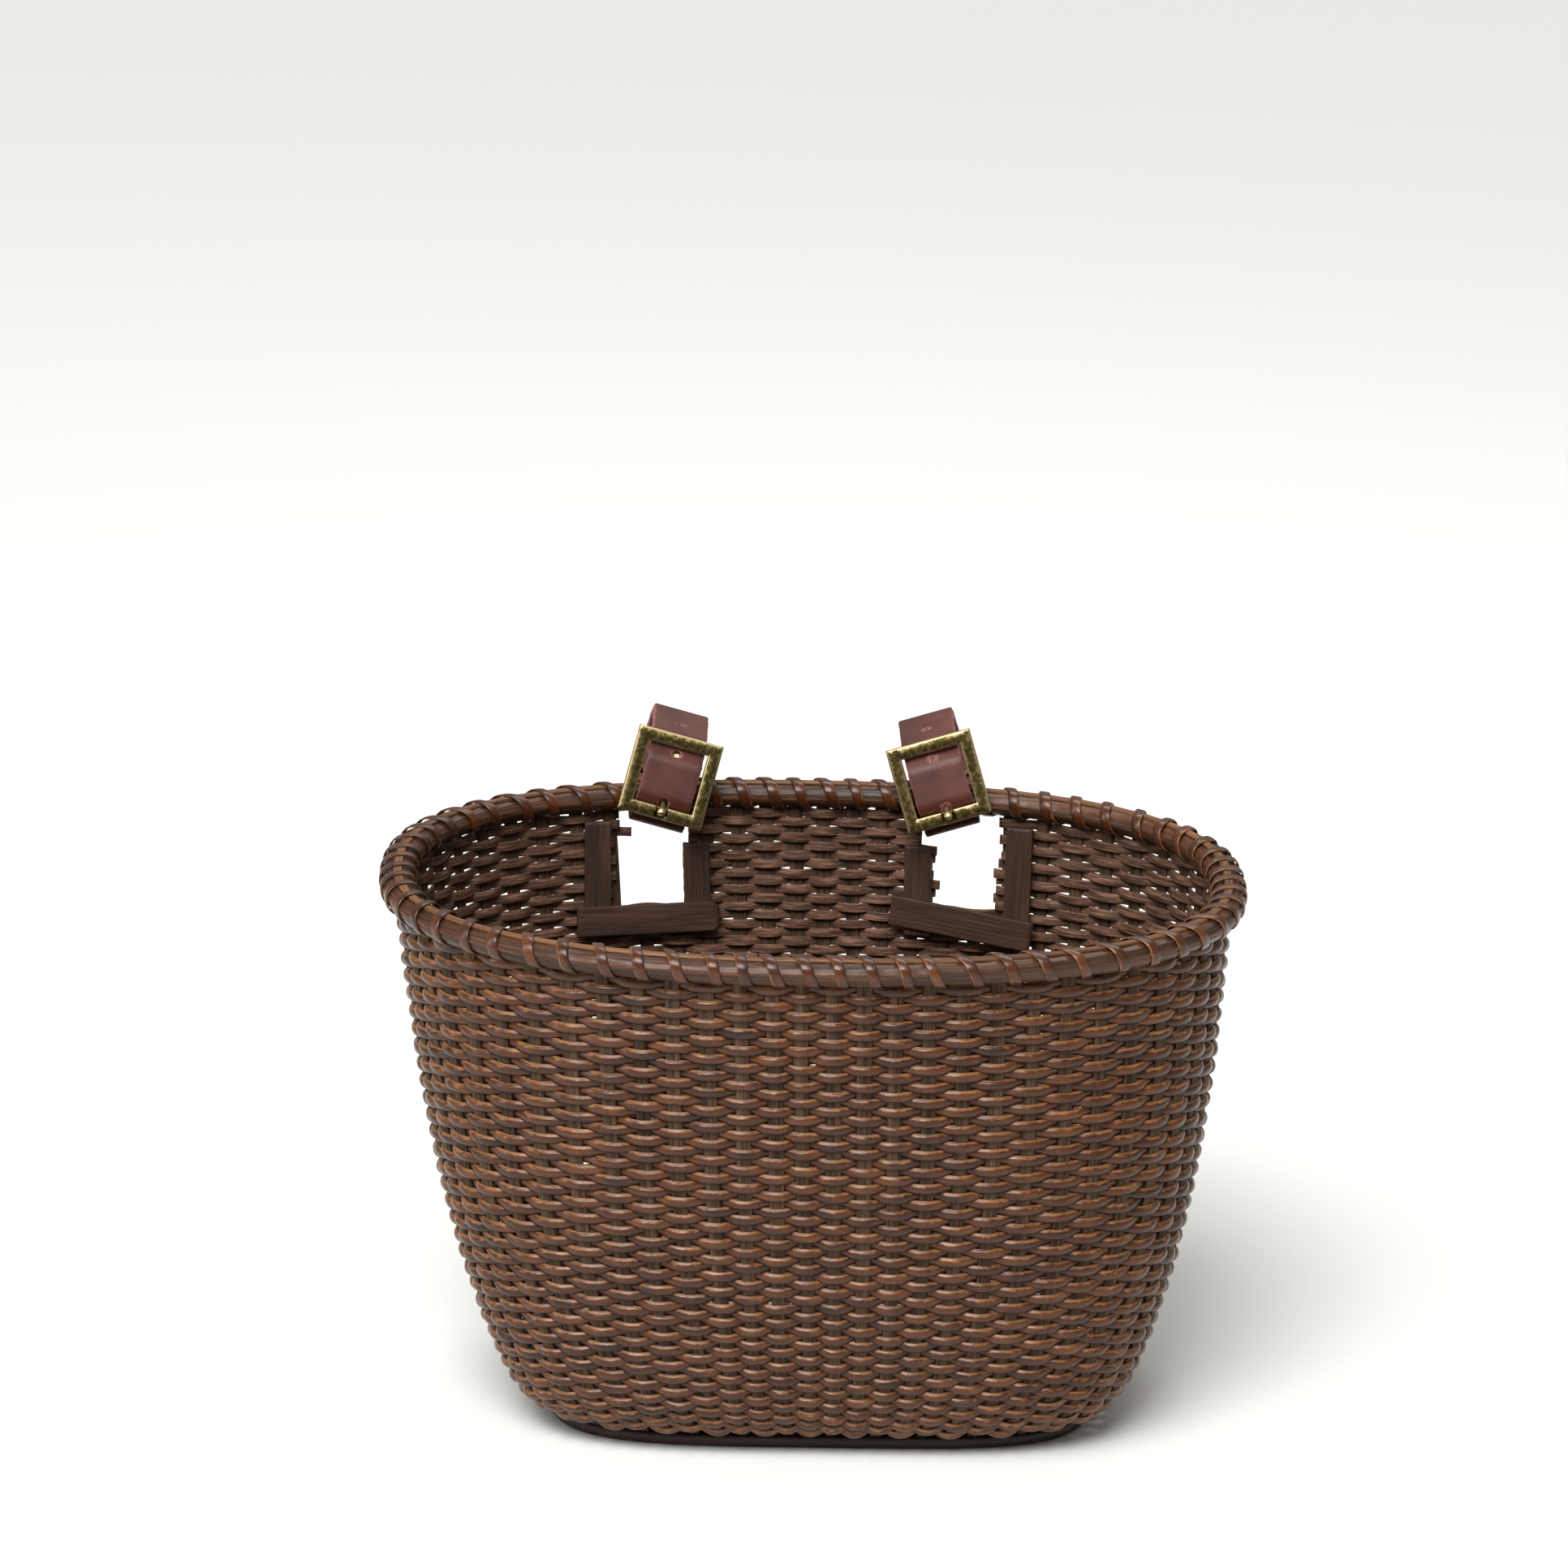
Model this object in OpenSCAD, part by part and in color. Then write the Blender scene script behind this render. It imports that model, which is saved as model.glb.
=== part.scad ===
// Handlebar basket: an oval woven basket on a wooden base, with a lashed rim of three canes
// and two buckled leather straps that loop round the rim and a 22.2 mm handlebar.
// Millimetres. The origin is on the base's underside, below the middle of the rim. +Z is up,
// +X is to the right as seen from the front, and +Y is the side with the straps. Left is -X.

/* [Woven wall] */
// Outside width of the weave at the rim
wall_w = 336; // [300:1:370]
// Outside depth of the weave at the rim
wall_d = 231; // [210:1:260]
// Outside width of the weave where it meets the base
foot_w = 234; // [220:1:260]
// Outside depth of the weave where it meets the base
foot_d = 146; // [140:1:160]
// Thickness of the weave, from the round outside to the flat inside
wall_t = 5; // [4:0.5:6]
// Squareness of the outline at the rim, where 2 is an ellipse
rim_square = 2.4; // [2:0.1:3]
// Squareness of the outline at the base
foot_square = 4; // [3:0.1:5]

// How far the foot stands to the right of the rim, since the wall leans a little
lean_x = 6.5; // [0:0.5:8]

/* [Stakes] */
// Number of upright stakes
stake_count = 68; // [60:4:76]
// Width of a stake
stake_w = 5.8; // [4:0.2:6]
// Thickness of a stake
stake_t = 1.4; // [1:0.1:1.6]

/* [Rim] */
// Height of the rim's centreline above the base's underside
rim_z = 219; // [200:1:230]
// Gap between the two half-round canes, which the stakes fill
rim_gap = 2; // [1.8:0.1:2.4]
// Radial width of one half-round cane
cane_w = 5.7; // [5:0.1:6.5]
// Height of the half-round canes
cane_h = 9.2; // [8:0.1:11]
// Width of the filler cane that closes the top of the rim
filler_w = 3.7; // [3:0.1:4.5]
// Thickness of the filler cane
filler_t = 1.1; // [0.8:0.1:1.5]
// Width of the flat lashing strip
lash_w = 4; // [3:0.5:5]
// Thickness of the flat lashing strip
lash_t = 0.8; // [0.6:0.1:1]

/* [Base] */
// Width of the base board
board_w = 220; // [210:1:230]
// Depth of the base board
board_d = 130; // [124:1:138]
// Thickness of the base board
board_t = 9; // [8:0.5:12]

/* [Windows] */
// Distance of each window's centre from the middle of the back
window_x = 68; // [60:0.5:72]
// Clear width of a window
window_w = 31; // [28:0.5:34]
// Depth of a window's sill below the rim's centreline
window_drop = 46; // [40:1:60]
// Width of the upright slats beside a window
slat_w = 11; // [8:0.5:13]
// Thickness of the slats
slat_t = 2.2; // [1.5:0.1:3]
// Length of the crosspiece over the slats' lower ends
cross_l = 60; // [55:1:66]
// Height of the crosspiece
cross_h = 12.6; // [10:0.2:15]

/* [Straps] */
// Half the distance between the straps, measured at the rim's centreline
strap_x = 58.7; // [57:0.1:60]
// How far both straps sit to the left
strap_shift = 2; // [0:0.5:3]
// Width of a strap
strap_w = 23; // [20:0.5:23]
// Thickness of a strap
strap_t = 2.2; // [2:0.1:2.2]
// Lean of the straps towards the middle, square to the rising handlebar
strap_lean = 16.2; // [12:0.1:18]
// How much further the right strap leans than that, and the left one less
strap_roll = 1; // [0:0.1:2]
// Diameter of the handlebar that the straps hold
bar_d = 22.2; // [21:0.1:22.4]

/* [Buckles] */
// Outside width and height of a buckle
buckle_w = 36; // [35:0.5:38]
// Width of a buckle's four sides
buckle_side = 4.8; // [4:0.1:5]
// Thickness of a buckle's frame
buckle_t = 3; // [2.5:0.1:3]
// Lean of a buckle, backwards from the strap's own upright
buckle_lean = 17.5; // [15:0.5:19]

/* [Hidden] */

left = -1;
right = 1;
arc_fn = 64;

// The weave runs from wall_z0, just above the board's lip, to wall_z1, just under the rim.
wall_z0 = 9.4;
wall_z1 = rim_z - 6.6;
rim_segments = 72;
board_segments = 96;
wall_levels = [for (k = [0:13]) wall_z0 + (wall_z1 - wall_z0) * pow(k / 13, 1.8)];

// The groove in the board's edge, where the stakes' lower ends sit.
groove_z = 6.5;
groove_h = 2;
groove_depth = 6;

// Height of the half-round canes' middle above the rim's centreline, and of the stakes' tops.
cane_z = -0.4;
stake_over = 3.4;
// How far the wall bows in from a window's middle to its slats' outer edges, with a gap.
wall_bow = 2.5;
lash_steps = 10;
lash_half_w = 6.95;
lash_half_h = 5.35;

// The buckle's centre and the handlebar's centre, back and up from the rim's centreline
// in the strap's own plane.
buckle_at = [-12.1, 11.4];
bar_at = [28.2, 12.5];
bar_r = bar_d / 2 + 0.1;
layer_gap = 0.15;
hinge_r = 1.5;
hinge_clear = 0.08;
slot_clear = 0.3;
hinge_back = 3.6;
skive_t = 1.5;
crown = 0.8;
eye_t = 1.3;
eye_w = 3;
prong_r = 1.25;
hole_r = 1.6;
hole_pitch = 21;
// How far the strap lies behind the face of the buckle's top and bottom sides.
behind = -3.6;
// Clearance at each edge of the strap where it passes under the rim.
way_clear = 1.5;
rivet_r = 1.4;
rivet_head_r = 3;
rivet_head_t = 0.6;

// ---- Outline of the basket at any height ----

// How far down the wall a height lies: 0 at the rim, 1 at the foot.
function depth_at(z) = (rim_z - z) / (rim_z - wall_z0);

// How much of its taper the wall has taken there: nearly straight at first, then rounding in,
// and tucked sharply under at the foot.
function taper_at(z) =
    let (t = min(1, max(0, depth_at(z)))) 0.38 * t + 0.5 * pow(t, 3) + 0.12 * pow(t, 38);

// Half width, half depth and squareness of the weave's middle surface.
function half_w(z) = (wall_w - wall_t) / 2 - (wall_w - foot_w) / 2 * taper_at(z);
function half_d(z) = (wall_d - wall_t) / 2 - (wall_d - foot_d) / 2 * taper_at(z);
function square_at(z) =
    rim_square + (foot_square - rim_square) * pow(max(0, depth_at(z)), 1.5);

// A point on a rounded outline, at polar angle q.
function outline(q, a, b, n) =
    let (r = pow(pow(abs(cos(q)) / a, n) + pow(abs(sin(q)) / b, n), -1 / n))
    [r * cos(q), r * sin(q)];

function wall_outline(q, z) =
    outline(q, half_w(z), half_d(z), square_at(z)) + [lean_x * max(0, depth_at(z)), 0];

// Running length round the outline at height z, as [length, angle] rows.
function length_table(z) =
    [for (q = 0, s = 0; q <= 360;
          s = s + norm(wall_outline(q + 2, z) - wall_outline(q, z)), q = q + 2) [s, q]];

// Polar angle at fraction f of the way round a length table.
function angle_at(f, table) = lookup(f * table[len(table) - 1][0], table);

// The stakes stand closer in the middle of each side than at the shoulders between.
function crowd(f) = f - 0.0044 * sin(1440 * f);

function unit(v) = v / norm(v);

// Tangent of the outline at angle q and height z, going round from +X to +Y.
function tangent_at(q, z) = unit(wall_outline(q + 0.5, z) - wall_outline(q - 0.5, z));

// A point beside the weave's middle surface: out and up from it, and along it.
function beside(q, z, out = 0, up = 0, along = 0) =
    let (p = wall_outline(q, z), t = tangent_at(q, z))
    [p.x + t.y * out + t.x * along, p.y - t.x * out + t.y * along, z + up];

// The back of the weave's middle surface: its y at a given x and z, and its turn and lean.
function back_y(x, z) =
    half_d(z) * pow(1 - pow(abs(x) / half_w(z), square_at(z)), 1 / square_at(z));
function back_turn(x, z) = atan(back_y(x + 1, z) - back_y(x, z));
function back_lean(x, z) = atan((back_y(x, z + 20) - back_y(x, z - 20)) / 40);

// ---- Swept solids ----

// Triangles between n rings of m points each; a closed sweep joins its last ring to its first.
function band_faces(n, m, closed) =
    [for (i = [0:(closed ? n - 1 : n - 2)], j = [0:m - 1])
        let (a = i * m, b = ((i + 1) % n) * m, k = (j + 1) % m)
        each [[a + j, a + k, b + j], [a + k, b + k, b + j]]];

module sweep_closed(rings) {
    n = len(rings);
    m = len(rings[0]);
    polyhedron([for (r = rings) each r], band_faces(n, m, true));
}

module sweep_open(rings) {
    n = len(rings);
    m = len(rings[0]);
    first_cap = [for (j = [m - 1:-1:0]) j];
    last_cap = [for (j = [0:m - 1]) (n - 1) * m + j];
    polyhedron([for (r = rings) each r],
        concat(band_faces(n, m, false), [first_cap, last_cap]));
}

// A loop round the rim with a constant section, given as [out, up] points.
module rim_loop(section) {
    table = length_table(rim_z);
    sweep_closed([for (i = [0:rim_segments - 1])
        let (q = angle_at(i / rim_segments, table))
        [for (p = section) beside(q, rim_z, p.x, p.y)]]);
}

// ---- Base, stakes and weave ----

module board_outline(inset) {
    polygon([for (i = [0:board_segments - 1])
        outline(360 * i / board_segments, board_w / 2 - inset, board_d / 2 - inset,
            foot_square)]);
}

module base_board() color([0.17, 0.10, 0.07]) {
    translate([lean_x, 0, 0]) {
        linear_extrude(groove_z - groove_h / 2) board_outline(0);
        linear_extrude(board_t) board_outline(groove_depth);
        translate([0, 0, groove_z + groove_h / 2])
            linear_extrude(board_t - groove_z - groove_h / 2) board_outline(0);
    }
}

// One stake: down between the rim canes, through the weave and into the board's groove.
// The last three levels tuck it under, so the strip turns with them.
module stake(f, top) {
    levels = [for (z = [top, top - 14, 170, 140, 110, 80, 52, 34, 22, 15]) if (z <= top) z];
    upper = [for (z = levels) [angle_at(f, length_table(z)), z, 0, 0]];
    foot = angle_at(f, length_table(wall_z0));
    path = concat(upper, [[foot, wall_z0 + 1.5, 0, 35], [foot, groove_z + 1.3, -3, 65],
        [foot, groove_z, -7.8, 80]]);
    sweep_open([for (p = path)
        [for (c = [[-1, -1], [-1, 1], [1, 1], [1, -1]])
            let (out = c.y * stake_t / 2, along = c.x * stake_w / 2)
            beside(p[0], p[1], p[2] + out * cos(p[3]), -out * sin(p[3]), along)]]);
}

module stakes() color([0.24, 0.17, 0.13])
    for (i = [0:stake_count - 1]) {
        f = crowd((i + 0.5) / stake_count);
        at_rim = wall_outline(angle_at(f, length_table(rim_z)), rim_z);
        in_window = at_rim.y > 0 && abs(abs(at_rim.x) - window_x) < window_w / 2;
        stake(f, in_window ? rim_z - window_drop - 2 : rim_z + stake_over);
    }

module window_cutter(side) {
    z = rim_z - window_drop / 2;
    translate([side * window_x, back_y(window_x, z), rim_z - window_drop])
        rotate([0, 0, back_turn(side * window_x, z)])
        translate([-window_w / 2, -25, 0]) cube([window_w, 50, window_drop]);
}

// The strap's way under the rim, with room for its swing.
module strap_way(side)
    strap_place(side) translate([-16, -19, -strap_w / 2 - way_clear])
        cube([34, 16, strap_w + 2 * way_clear]);

module woven_wall() color([0.36, 0.21, 0.13])
    difference() {
        tables = [for (z = wall_levels) length_table(z)];
        last = len(wall_levels) - 1;
        sweep_closed([for (i = [0:rim_segments - 1])
            concat(
                [for (k = [0:last])
                    beside(angle_at(i / rim_segments, tables[k]), wall_levels[k], wall_t / 2)],
                [for (k = [last:-1:0])
                    beside(angle_at(i / rim_segments, tables[k]), wall_levels[k], -wall_t / 2)])]);
        window_cutter(left);
        window_cutter(right);
        strap_way(left);
        strap_way(right);
    }

// ---- Rim ----

module half_round_cane(side)
    rim_loop([for (k = [0:6])
        let (q = side * (90 - 30 * k))
        [side * (rim_gap / 2 + cane_w * cos(q)), cane_z + side * cane_h / 2 * sin(q)]]);

module rim_outer_cane() color([0.27, 0.17, 0.11]) half_round_cane(1);

module rim_inner_cane() color([0.27, 0.17, 0.11]) half_round_cane(-1);

module rim_filler_cane() color([0.45, 0.28, 0.17]) {
    seat = cane_z + cane_h / 2;
    rim_loop([[-filler_w / 2, seat], [filler_w / 2, seat], [filler_w / 2, seat + filler_t / 2],
        [filler_w / 5, seat + filler_t], [-filler_w / 5, seat + filler_t],
        [-filler_w / 2, seat + filler_t / 2]]);
}

// One flat strip wound round all three canes, once in each space between the stakes.
module rim_lashing() color([0.40, 0.20, 0.12]) {
    table = length_table(rim_z);
    steps = stake_count * lash_steps;
    sweep_closed([for (i = [0:steps - 1])
        let (q = angle_at(crowd(i / steps), table), turn = 360 * i / lash_steps + 90)
        [for (c = [[-1, 0], [1, 0], [1, 1], [-1, 1]])
            beside(q, rim_z, (lash_half_w + c.y * lash_t) * -sin(turn),
                (lash_half_h + c.y * lash_t) * cos(turn), c.x * lash_w / 2)]]);
}

// ---- Window frames ----

// Each frame is flat: its slats lie in one plane against the inside of the back wall, and its
// crosspiece lies on them. In this frame +Y points out of the basket, and the origin is on
// the slats' inner faces, in the middle of the sill.
module window_frame(side) {
    z = rim_z - window_drop / 2;
    translate([side * window_x, back_y(window_x, z), z])
        rotate([-back_lean(window_x, z), 0, back_turn(side * window_x, z)])
        translate([0, -wall_t / 2 - wall_bow - slat_t, -window_drop / 2]) children();
}

module upright_slat(side, x, bottom, top)
    window_frame(side) translate([x - slat_w / 2, 0, bottom]) cube([slat_w, slat_t, top - bottom]);

module crosspiece(side, x, slant)
    window_frame(side)
        translate([x, 0, 1 - cross_h / 2]) rotate([0, slant, 0])
        translate([-cross_l / 2, -slat_t, -cross_h / 2]) cube([cross_l, slat_t, cross_h]);

slat_off = (window_w + slat_w) / 2;

// The outer slats reach up to the rim. The inner ones stop short of the strap, and their
// lower ends show under the crosspiece.
outer_top = window_drop - 9;
outer_bottom = -4.6;
inner_top = window_drop - 20;
inner_bottom = outer_bottom - 8;

module left_window_outer_slat() color([0.25, 0.15, 0.10])
    upright_slat(left, -slat_off, outer_bottom, outer_top);

module left_window_inner_slat() color([0.25, 0.15, 0.10])
    upright_slat(left, slat_off, inner_bottom, inner_top);

module left_window_crosspiece() color([0.22, 0.14, 0.11]) crosspiece(left, 0, 0);

module right_window_outer_slat() color([0.25, 0.15, 0.10])
    upright_slat(right, slat_off, outer_bottom, outer_top);

module right_window_inner_slat() color([0.25, 0.15, 0.10])
    upright_slat(right, -slat_off, inner_bottom, inner_top);

module right_window_crosspiece() color([0.22, 0.14, 0.11]) crosspiece(right, -2, 7);

// ---- Straps and buckles ----
// All of these are drawn for the left side in the strap's own plane: x back, y up and z
// along the rim, with the rim's centreline at the origin. The right side is mirrored.

module strap_place(side) {
    x = strap_x - side * strap_shift;
    mirror([side == right ? 1 : 0, 0, 0])
        translate([-x, back_y(x, rim_z), rim_z])
        rotate([0, strap_lean + side * strap_roll, 0]) rotate([90, 0, 90]) children();
}

// The buckle's own axes in that plane: x out of its face towards the front, y up along it.
module buckle_place(side)
    strap_place(side) translate(buckle_at) rotate([0, 0, -buckle_lean])
        mirror([1, 0, 0]) children();

// A point of the buckle's plane, u up along its face and v out of it, in the strap's plane.
function buckle_pt(u, v) =
    buckle_at + [u * sin(buckle_lean) - v * cos(buckle_lean),
                 u * cos(buckle_lean) + v * sin(buckle_lean)];

// Headings that meet and leave a circle which is passed clockwise.
function heading_to(p, c, r) = atan2(c.y - p.y, c.x - p.x) + asin(r / norm(c - p));
function heading_from(c, p, r) = atan2(p.y - c.y, p.x - c.x) - asin(r / norm(p - c));

// The point of such a circle where the heading is h.
function circle_pt(c, r, h) = c + r * [-sin(h), cos(h)];

// Points of a round bend at corner b of the path a, b, c.
function bend(a, b, c, r) =
    let (h0 = atan2(b.y - a.y, b.x - a.x), h1 = atan2(c.y - b.y, c.x - b.x),
         turn = ((h1 - h0 + 540) % 360) - 180, s = sign(turn),
         centre = b - unit(b - a) * r * tan(abs(turn) / 2) + r * s * [-sin(h0), cos(h0)],
         steps = max(2, ceil(abs(turn) / 9)))
    [for (k = [0:steps]) circle_pt(centre, -r * s, h0 + turn * k / steps)];

// Points clockwise round a circle, from heading h0 to heading h1.
function wrap(c, r, h0, h1) =
    let (steps = ceil((h0 - h1) / 9))
    [for (k = [0:steps]) circle_pt(c, r, h0 + (h1 - h0) * k / steps)];

// Radii of the strap's layers about the handlebar and of the fold about the buckle's bar.
inner_r = bar_r + strap_t / 2;
outer_r = inner_r + strap_t + layer_gap;
fold_r = hinge_r + hinge_clear + skive_t / 2;
layer_pitch = strap_t + layer_gap;

// The fixed end: a tail, the fold round the buckle's bar and the way up behind its top side.
hinge_at = buckle_pt(0, -hinge_back);
fixed_low = buckle_pt(5.5, -4.3);
fixed_top = buckle_pt(13.9, -6.5);
fixed_dir = unit(fixed_top - fixed_low);
tail_side = (skive_t + layer_pitch) / 2 * [fixed_dir.y, -fixed_dir.x];
tail_low = fixed_low + tail_side;
tail_end = fixed_low + 7.4 * fixed_dir + tail_side;
fold_in = heading_to(tail_low, hinge_at, fold_r);
fold_out = heading_from(hinge_at, fixed_low, fold_r) - 360;
fixed_heading = heading_to(fixed_top, bar_at, inner_r);

// The way down behind the handlebar, under the rim and up the front.
under_back = [3, -12.1];
under_front = [-12.3, -10.3];
under_heading = heading_from(bar_at, under_back, inner_r);
behind_low = buckle_pt(-15.9, behind);
behind_low_end = buckle_pt(-12.4, behind);

// The free end: through the buckle, over its bar and on over the handlebar.
crown_low = buckle_pt(-6.5, crown);
crown_high = buckle_pt(6.5, crown);
behind_top_start = buckle_pt(12.4, behind);
behind_top = buckle_pt(15.6, behind);
free_heading = heading_to(behind_top, bar_at, outer_r);
free_end_heading = -115;

// Rows of the strap's centreline: a point, the thickness there, and how far its inner side
// is left proud for a round hole to be cut true.
function rows(points, t, proud = 0) = [for (p = points) [p, t, proud]];

strap_rows = concat(
    rows([tail_end], skive_t),
    rows(bend(tail_end, tail_low, circle_pt(hinge_at, fold_r, fold_in), 4), skive_t),
    rows(wrap(hinge_at, fold_r, fold_in, fold_out), skive_t, 0.1),
    rows(bend(circle_pt(hinge_at, fold_r, fold_out), fixed_low, fixed_top, 3), strap_t),
    rows(bend(fixed_low, fixed_top, circle_pt(bar_at, inner_r, fixed_heading), 3), strap_t),
    rows(wrap(bar_at, inner_r, fixed_heading, under_heading), strap_t, 0.1),
    rows(bend(circle_pt(bar_at, inner_r, under_heading), under_back, under_front, 8), strap_t),
    rows(bend(under_back, under_front, behind_low, 4), strap_t),
    rows(bend(under_front, behind_low, behind_low_end, 6), strap_t),
    rows(bend(behind_low, behind_low_end, crown_low, 2.5), strap_t),
    rows(bend(behind_low_end, crown_low, crown_high, 5), strap_t),
    rows(bend(crown_low, crown_high, behind_top_start, 5), strap_t),
    rows(bend(crown_high, behind_top_start, behind_top, 2.5), strap_t),
    rows(bend(behind_top_start, behind_top, circle_pt(bar_at, outer_r, free_heading), 2.6),
        strap_t),
    rows(wrap(bar_at, outer_r, free_heading, free_end_heading), strap_t));

// Left normal at row i, halfway between the normals of the steps on either side.
function normal_at(r, i) =
    let (last = len(r) - 1,
         before = unit(r[max(i, 1)][0] - r[max(i, 1) - 1][0]),
         after = unit(r[min(i, last - 1) + 1][0] - r[min(i, last - 1)][0]),
         d = unit(before + after))
    [-d.y, d.x];

// Puts its child in the strap at a point of the buckle's plane, turned to the strap's slope.
module through_strap(u, v, slope)
    translate(buckle_pt(u, v)) rotate([0, 0, slope - buckle_lean]) children();

module punch(r, depth)
    rotate([0, 90, 0]) cylinder(h = depth, r = r, center = true, $fn = arc_fn);

// Slope of the free end between its crown and the buckle's sides.
free_slope = atan2(crown - behind, 12.4 - 6.5);

// The hole with the prong in it, drawn long by the pull.
module prong_hole() {
    r = prong_r + 0.45;
    for (d = [-1.9, 2.5])
        translate([0, d, 0]) punch(r, 6);
    translate([0, 0.3, 0]) cube([6, 4.4, 2 * r], center = true);
}

module strap() {
    last = len(strap_rows) - 1;
    left_edge = [for (i = [0:last])
        strap_rows[i][0] + normal_at(strap_rows, i) * strap_rows[i][1] / 2];
    right_edge = [for (i = [last:-1:0])
        strap_rows[i][0] - normal_at(strap_rows, i) * (strap_rows[i][1] / 2 + strap_rows[i][2])];
    difference() {
        translate([0, 0, -strap_w / 2])
            linear_extrude(strap_w) polygon(concat(left_edge, right_edge));
        // The true round of the handlebar, and of the buckle's bar.
        translate([bar_at.x, bar_at.y, -strap_w])
            cylinder(h = 2 * strap_w, r = bar_r, $fn = arc_fn);
        translate([hinge_at.x, hinge_at.y, -strap_w])
            cylinder(h = 2 * strap_w, r = hinge_r + hinge_clear, $fn = arc_fn);
        // The slot in the fold, for the prong's eye.
        translate(buckle_pt(-0.3, -hinge_back + 0.2)) rotate([0, 0, -buckle_lean])
            cube([7.6, 8, eye_w + 2 * slot_clear], center = true);
        through_strap(-7.9, -0.25, -free_slope) prong_hole();
        // The next holes: by the buckle's top side, before the handlebar and behind it.
        through_strap(9.6, (crown + behind) / 2, free_slope) punch(hole_r, 3);
        translate([bar_at.x - hole_pitch + 5, bar_at.y + outer_r - 0.6])
            rotate([0, 0, 90]) punch(hole_r, 2.6);
        translate(bar_at) rotate([0, 0, 28]) translate([outer_r, 0]) punch(hole_r, 2.6);
        rivet_frame() punch(rivet_r + 0.05, 5);
    }
}

// The rivet closes the fold above the buckle's bar.
rivet_grip = strap_t + skive_t + layer_gap;

// Centred in the two layers of the fold, with x across them and y along them.
module rivet_frame() {
    at = fixed_low + 4 * fixed_dir + (rivet_grip - strap_t) / 2 * [fixed_dir.y, -fixed_dir.x];
    translate(at) rotate([0, 0, atan2(fixed_dir.y, fixed_dir.x) - 90]) children();
}

module strap_rivet()
    rivet_frame() {
        rotate([0, 90, 0]) cylinder(h = rivet_grip, r = rivet_r, center = true, $fn = arc_fn);
        for (s = [-1, 1])
            translate([s * (rivet_grip + rivet_head_t) / 2, 0, 0])
                rotate([0, 90, 0])
                cylinder(h = rivet_head_t, r = rivet_head_r, center = true, $fn = arc_fn);
    }

// A square frame, notched for the prong, with its bar carried on two ears behind it.
module buckle_frame() {
    inner_w = buckle_w - 2 * buckle_side;
    difference() {
        cube([buckle_t, buckle_w, buckle_w], center = true);
        cube([2 * buckle_t, inner_w, inner_w], center = true);
        translate([buckle_t / 2, -buckle_w / 2 + buckle_side / 2, 0])
            cube([buckle_t, buckle_side + 0.2, 2 * prong_r + 0.9], center = true);
    }
    ear = [hinge_back + hinge_r + 0.4, 2 * hinge_r + 0.8, 2.2];
    for (s = [-1, 1])
        translate([-ear.x / 2, 0, s * (inner_w + ear.z) / 2]) cube(ear, center = true);
    translate([-hinge_back, 0, 0]) cylinder(h = inner_w + 1, r = hinge_r, center = true, $fn = arc_fn);
}

// A round prong with an eye on the buckle's bar; its tip lies in the frame's notch.
module buckle_prong() {
    root_at = [-2.3, -1.5];
    tip_at = [2.95, -18];
    length = norm(tip_at - root_at);
    angle = atan2(tip_at.y - root_at.y, tip_at.x - root_at.x);
    difference() {
        union() {
            translate([-hinge_back, 0, 0])
                cylinder(h = eye_w, r = hinge_r + hinge_clear + eye_t, center = true, $fn = arc_fn);
            translate(root_at) rotate([0, 0, angle]) rotate([0, 90, 0])
                rotate_extrude($fn = arc_fn)
                polygon([[0, 0], [prong_r, 0], [prong_r, length - 0.9],
                    [0.8 * prong_r, length - 0.4], [0.4 * prong_r, length], [0, length]]);
        }
        translate([-hinge_back, 0, 0])
            cylinder(h = 2 * eye_w, r = hinge_r + hinge_clear, center = true, $fn = arc_fn);
    }
}

module left_strap() color([0.38, 0.20, 0.17]) strap_place(left) strap();

module left_strap_rivet() color([0.60, 0.50, 0.28]) strap_place(left) strap_rivet();

module left_buckle_frame() color([0.48, 0.42, 0.20]) buckle_place(left) buckle_frame();

module left_buckle_prong() color([0.70, 0.62, 0.38]) buckle_place(left) buckle_prong();

module right_strap() color([0.38, 0.20, 0.17]) strap_place(right) strap();

module right_strap_rivet() color([0.60, 0.50, 0.28]) strap_place(right) strap_rivet();

module right_buckle_frame() color([0.48, 0.42, 0.20]) buckle_place(right) buckle_frame();

module right_buckle_prong() color([0.70, 0.62, 0.38]) buckle_place(right) buckle_prong();

base_board();
stakes();
woven_wall();
rim_outer_cane();
rim_inner_cane();
rim_filler_cane();
rim_lashing();
left_window_outer_slat();
left_window_inner_slat();
left_window_crosspiece();
right_window_outer_slat();
right_window_inner_slat();
right_window_crosspiece();
left_strap();
left_strap_rivet();
left_buckle_frame();
left_buckle_prong();
right_strap();
right_strap_rivet();
right_buckle_frame();
right_buckle_prong();
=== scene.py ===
"""Handlebar basket: interlaced cane weavers on flat stakes, a lashed rim of three canes,
framed strap windows and two buckled leather straps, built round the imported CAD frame.

Shapes are worked out in millimetres, as in the CAD source, and scaled as they are made."""

import math

import bpy
import numpy as np
from mathutils import Matrix, Vector


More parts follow.
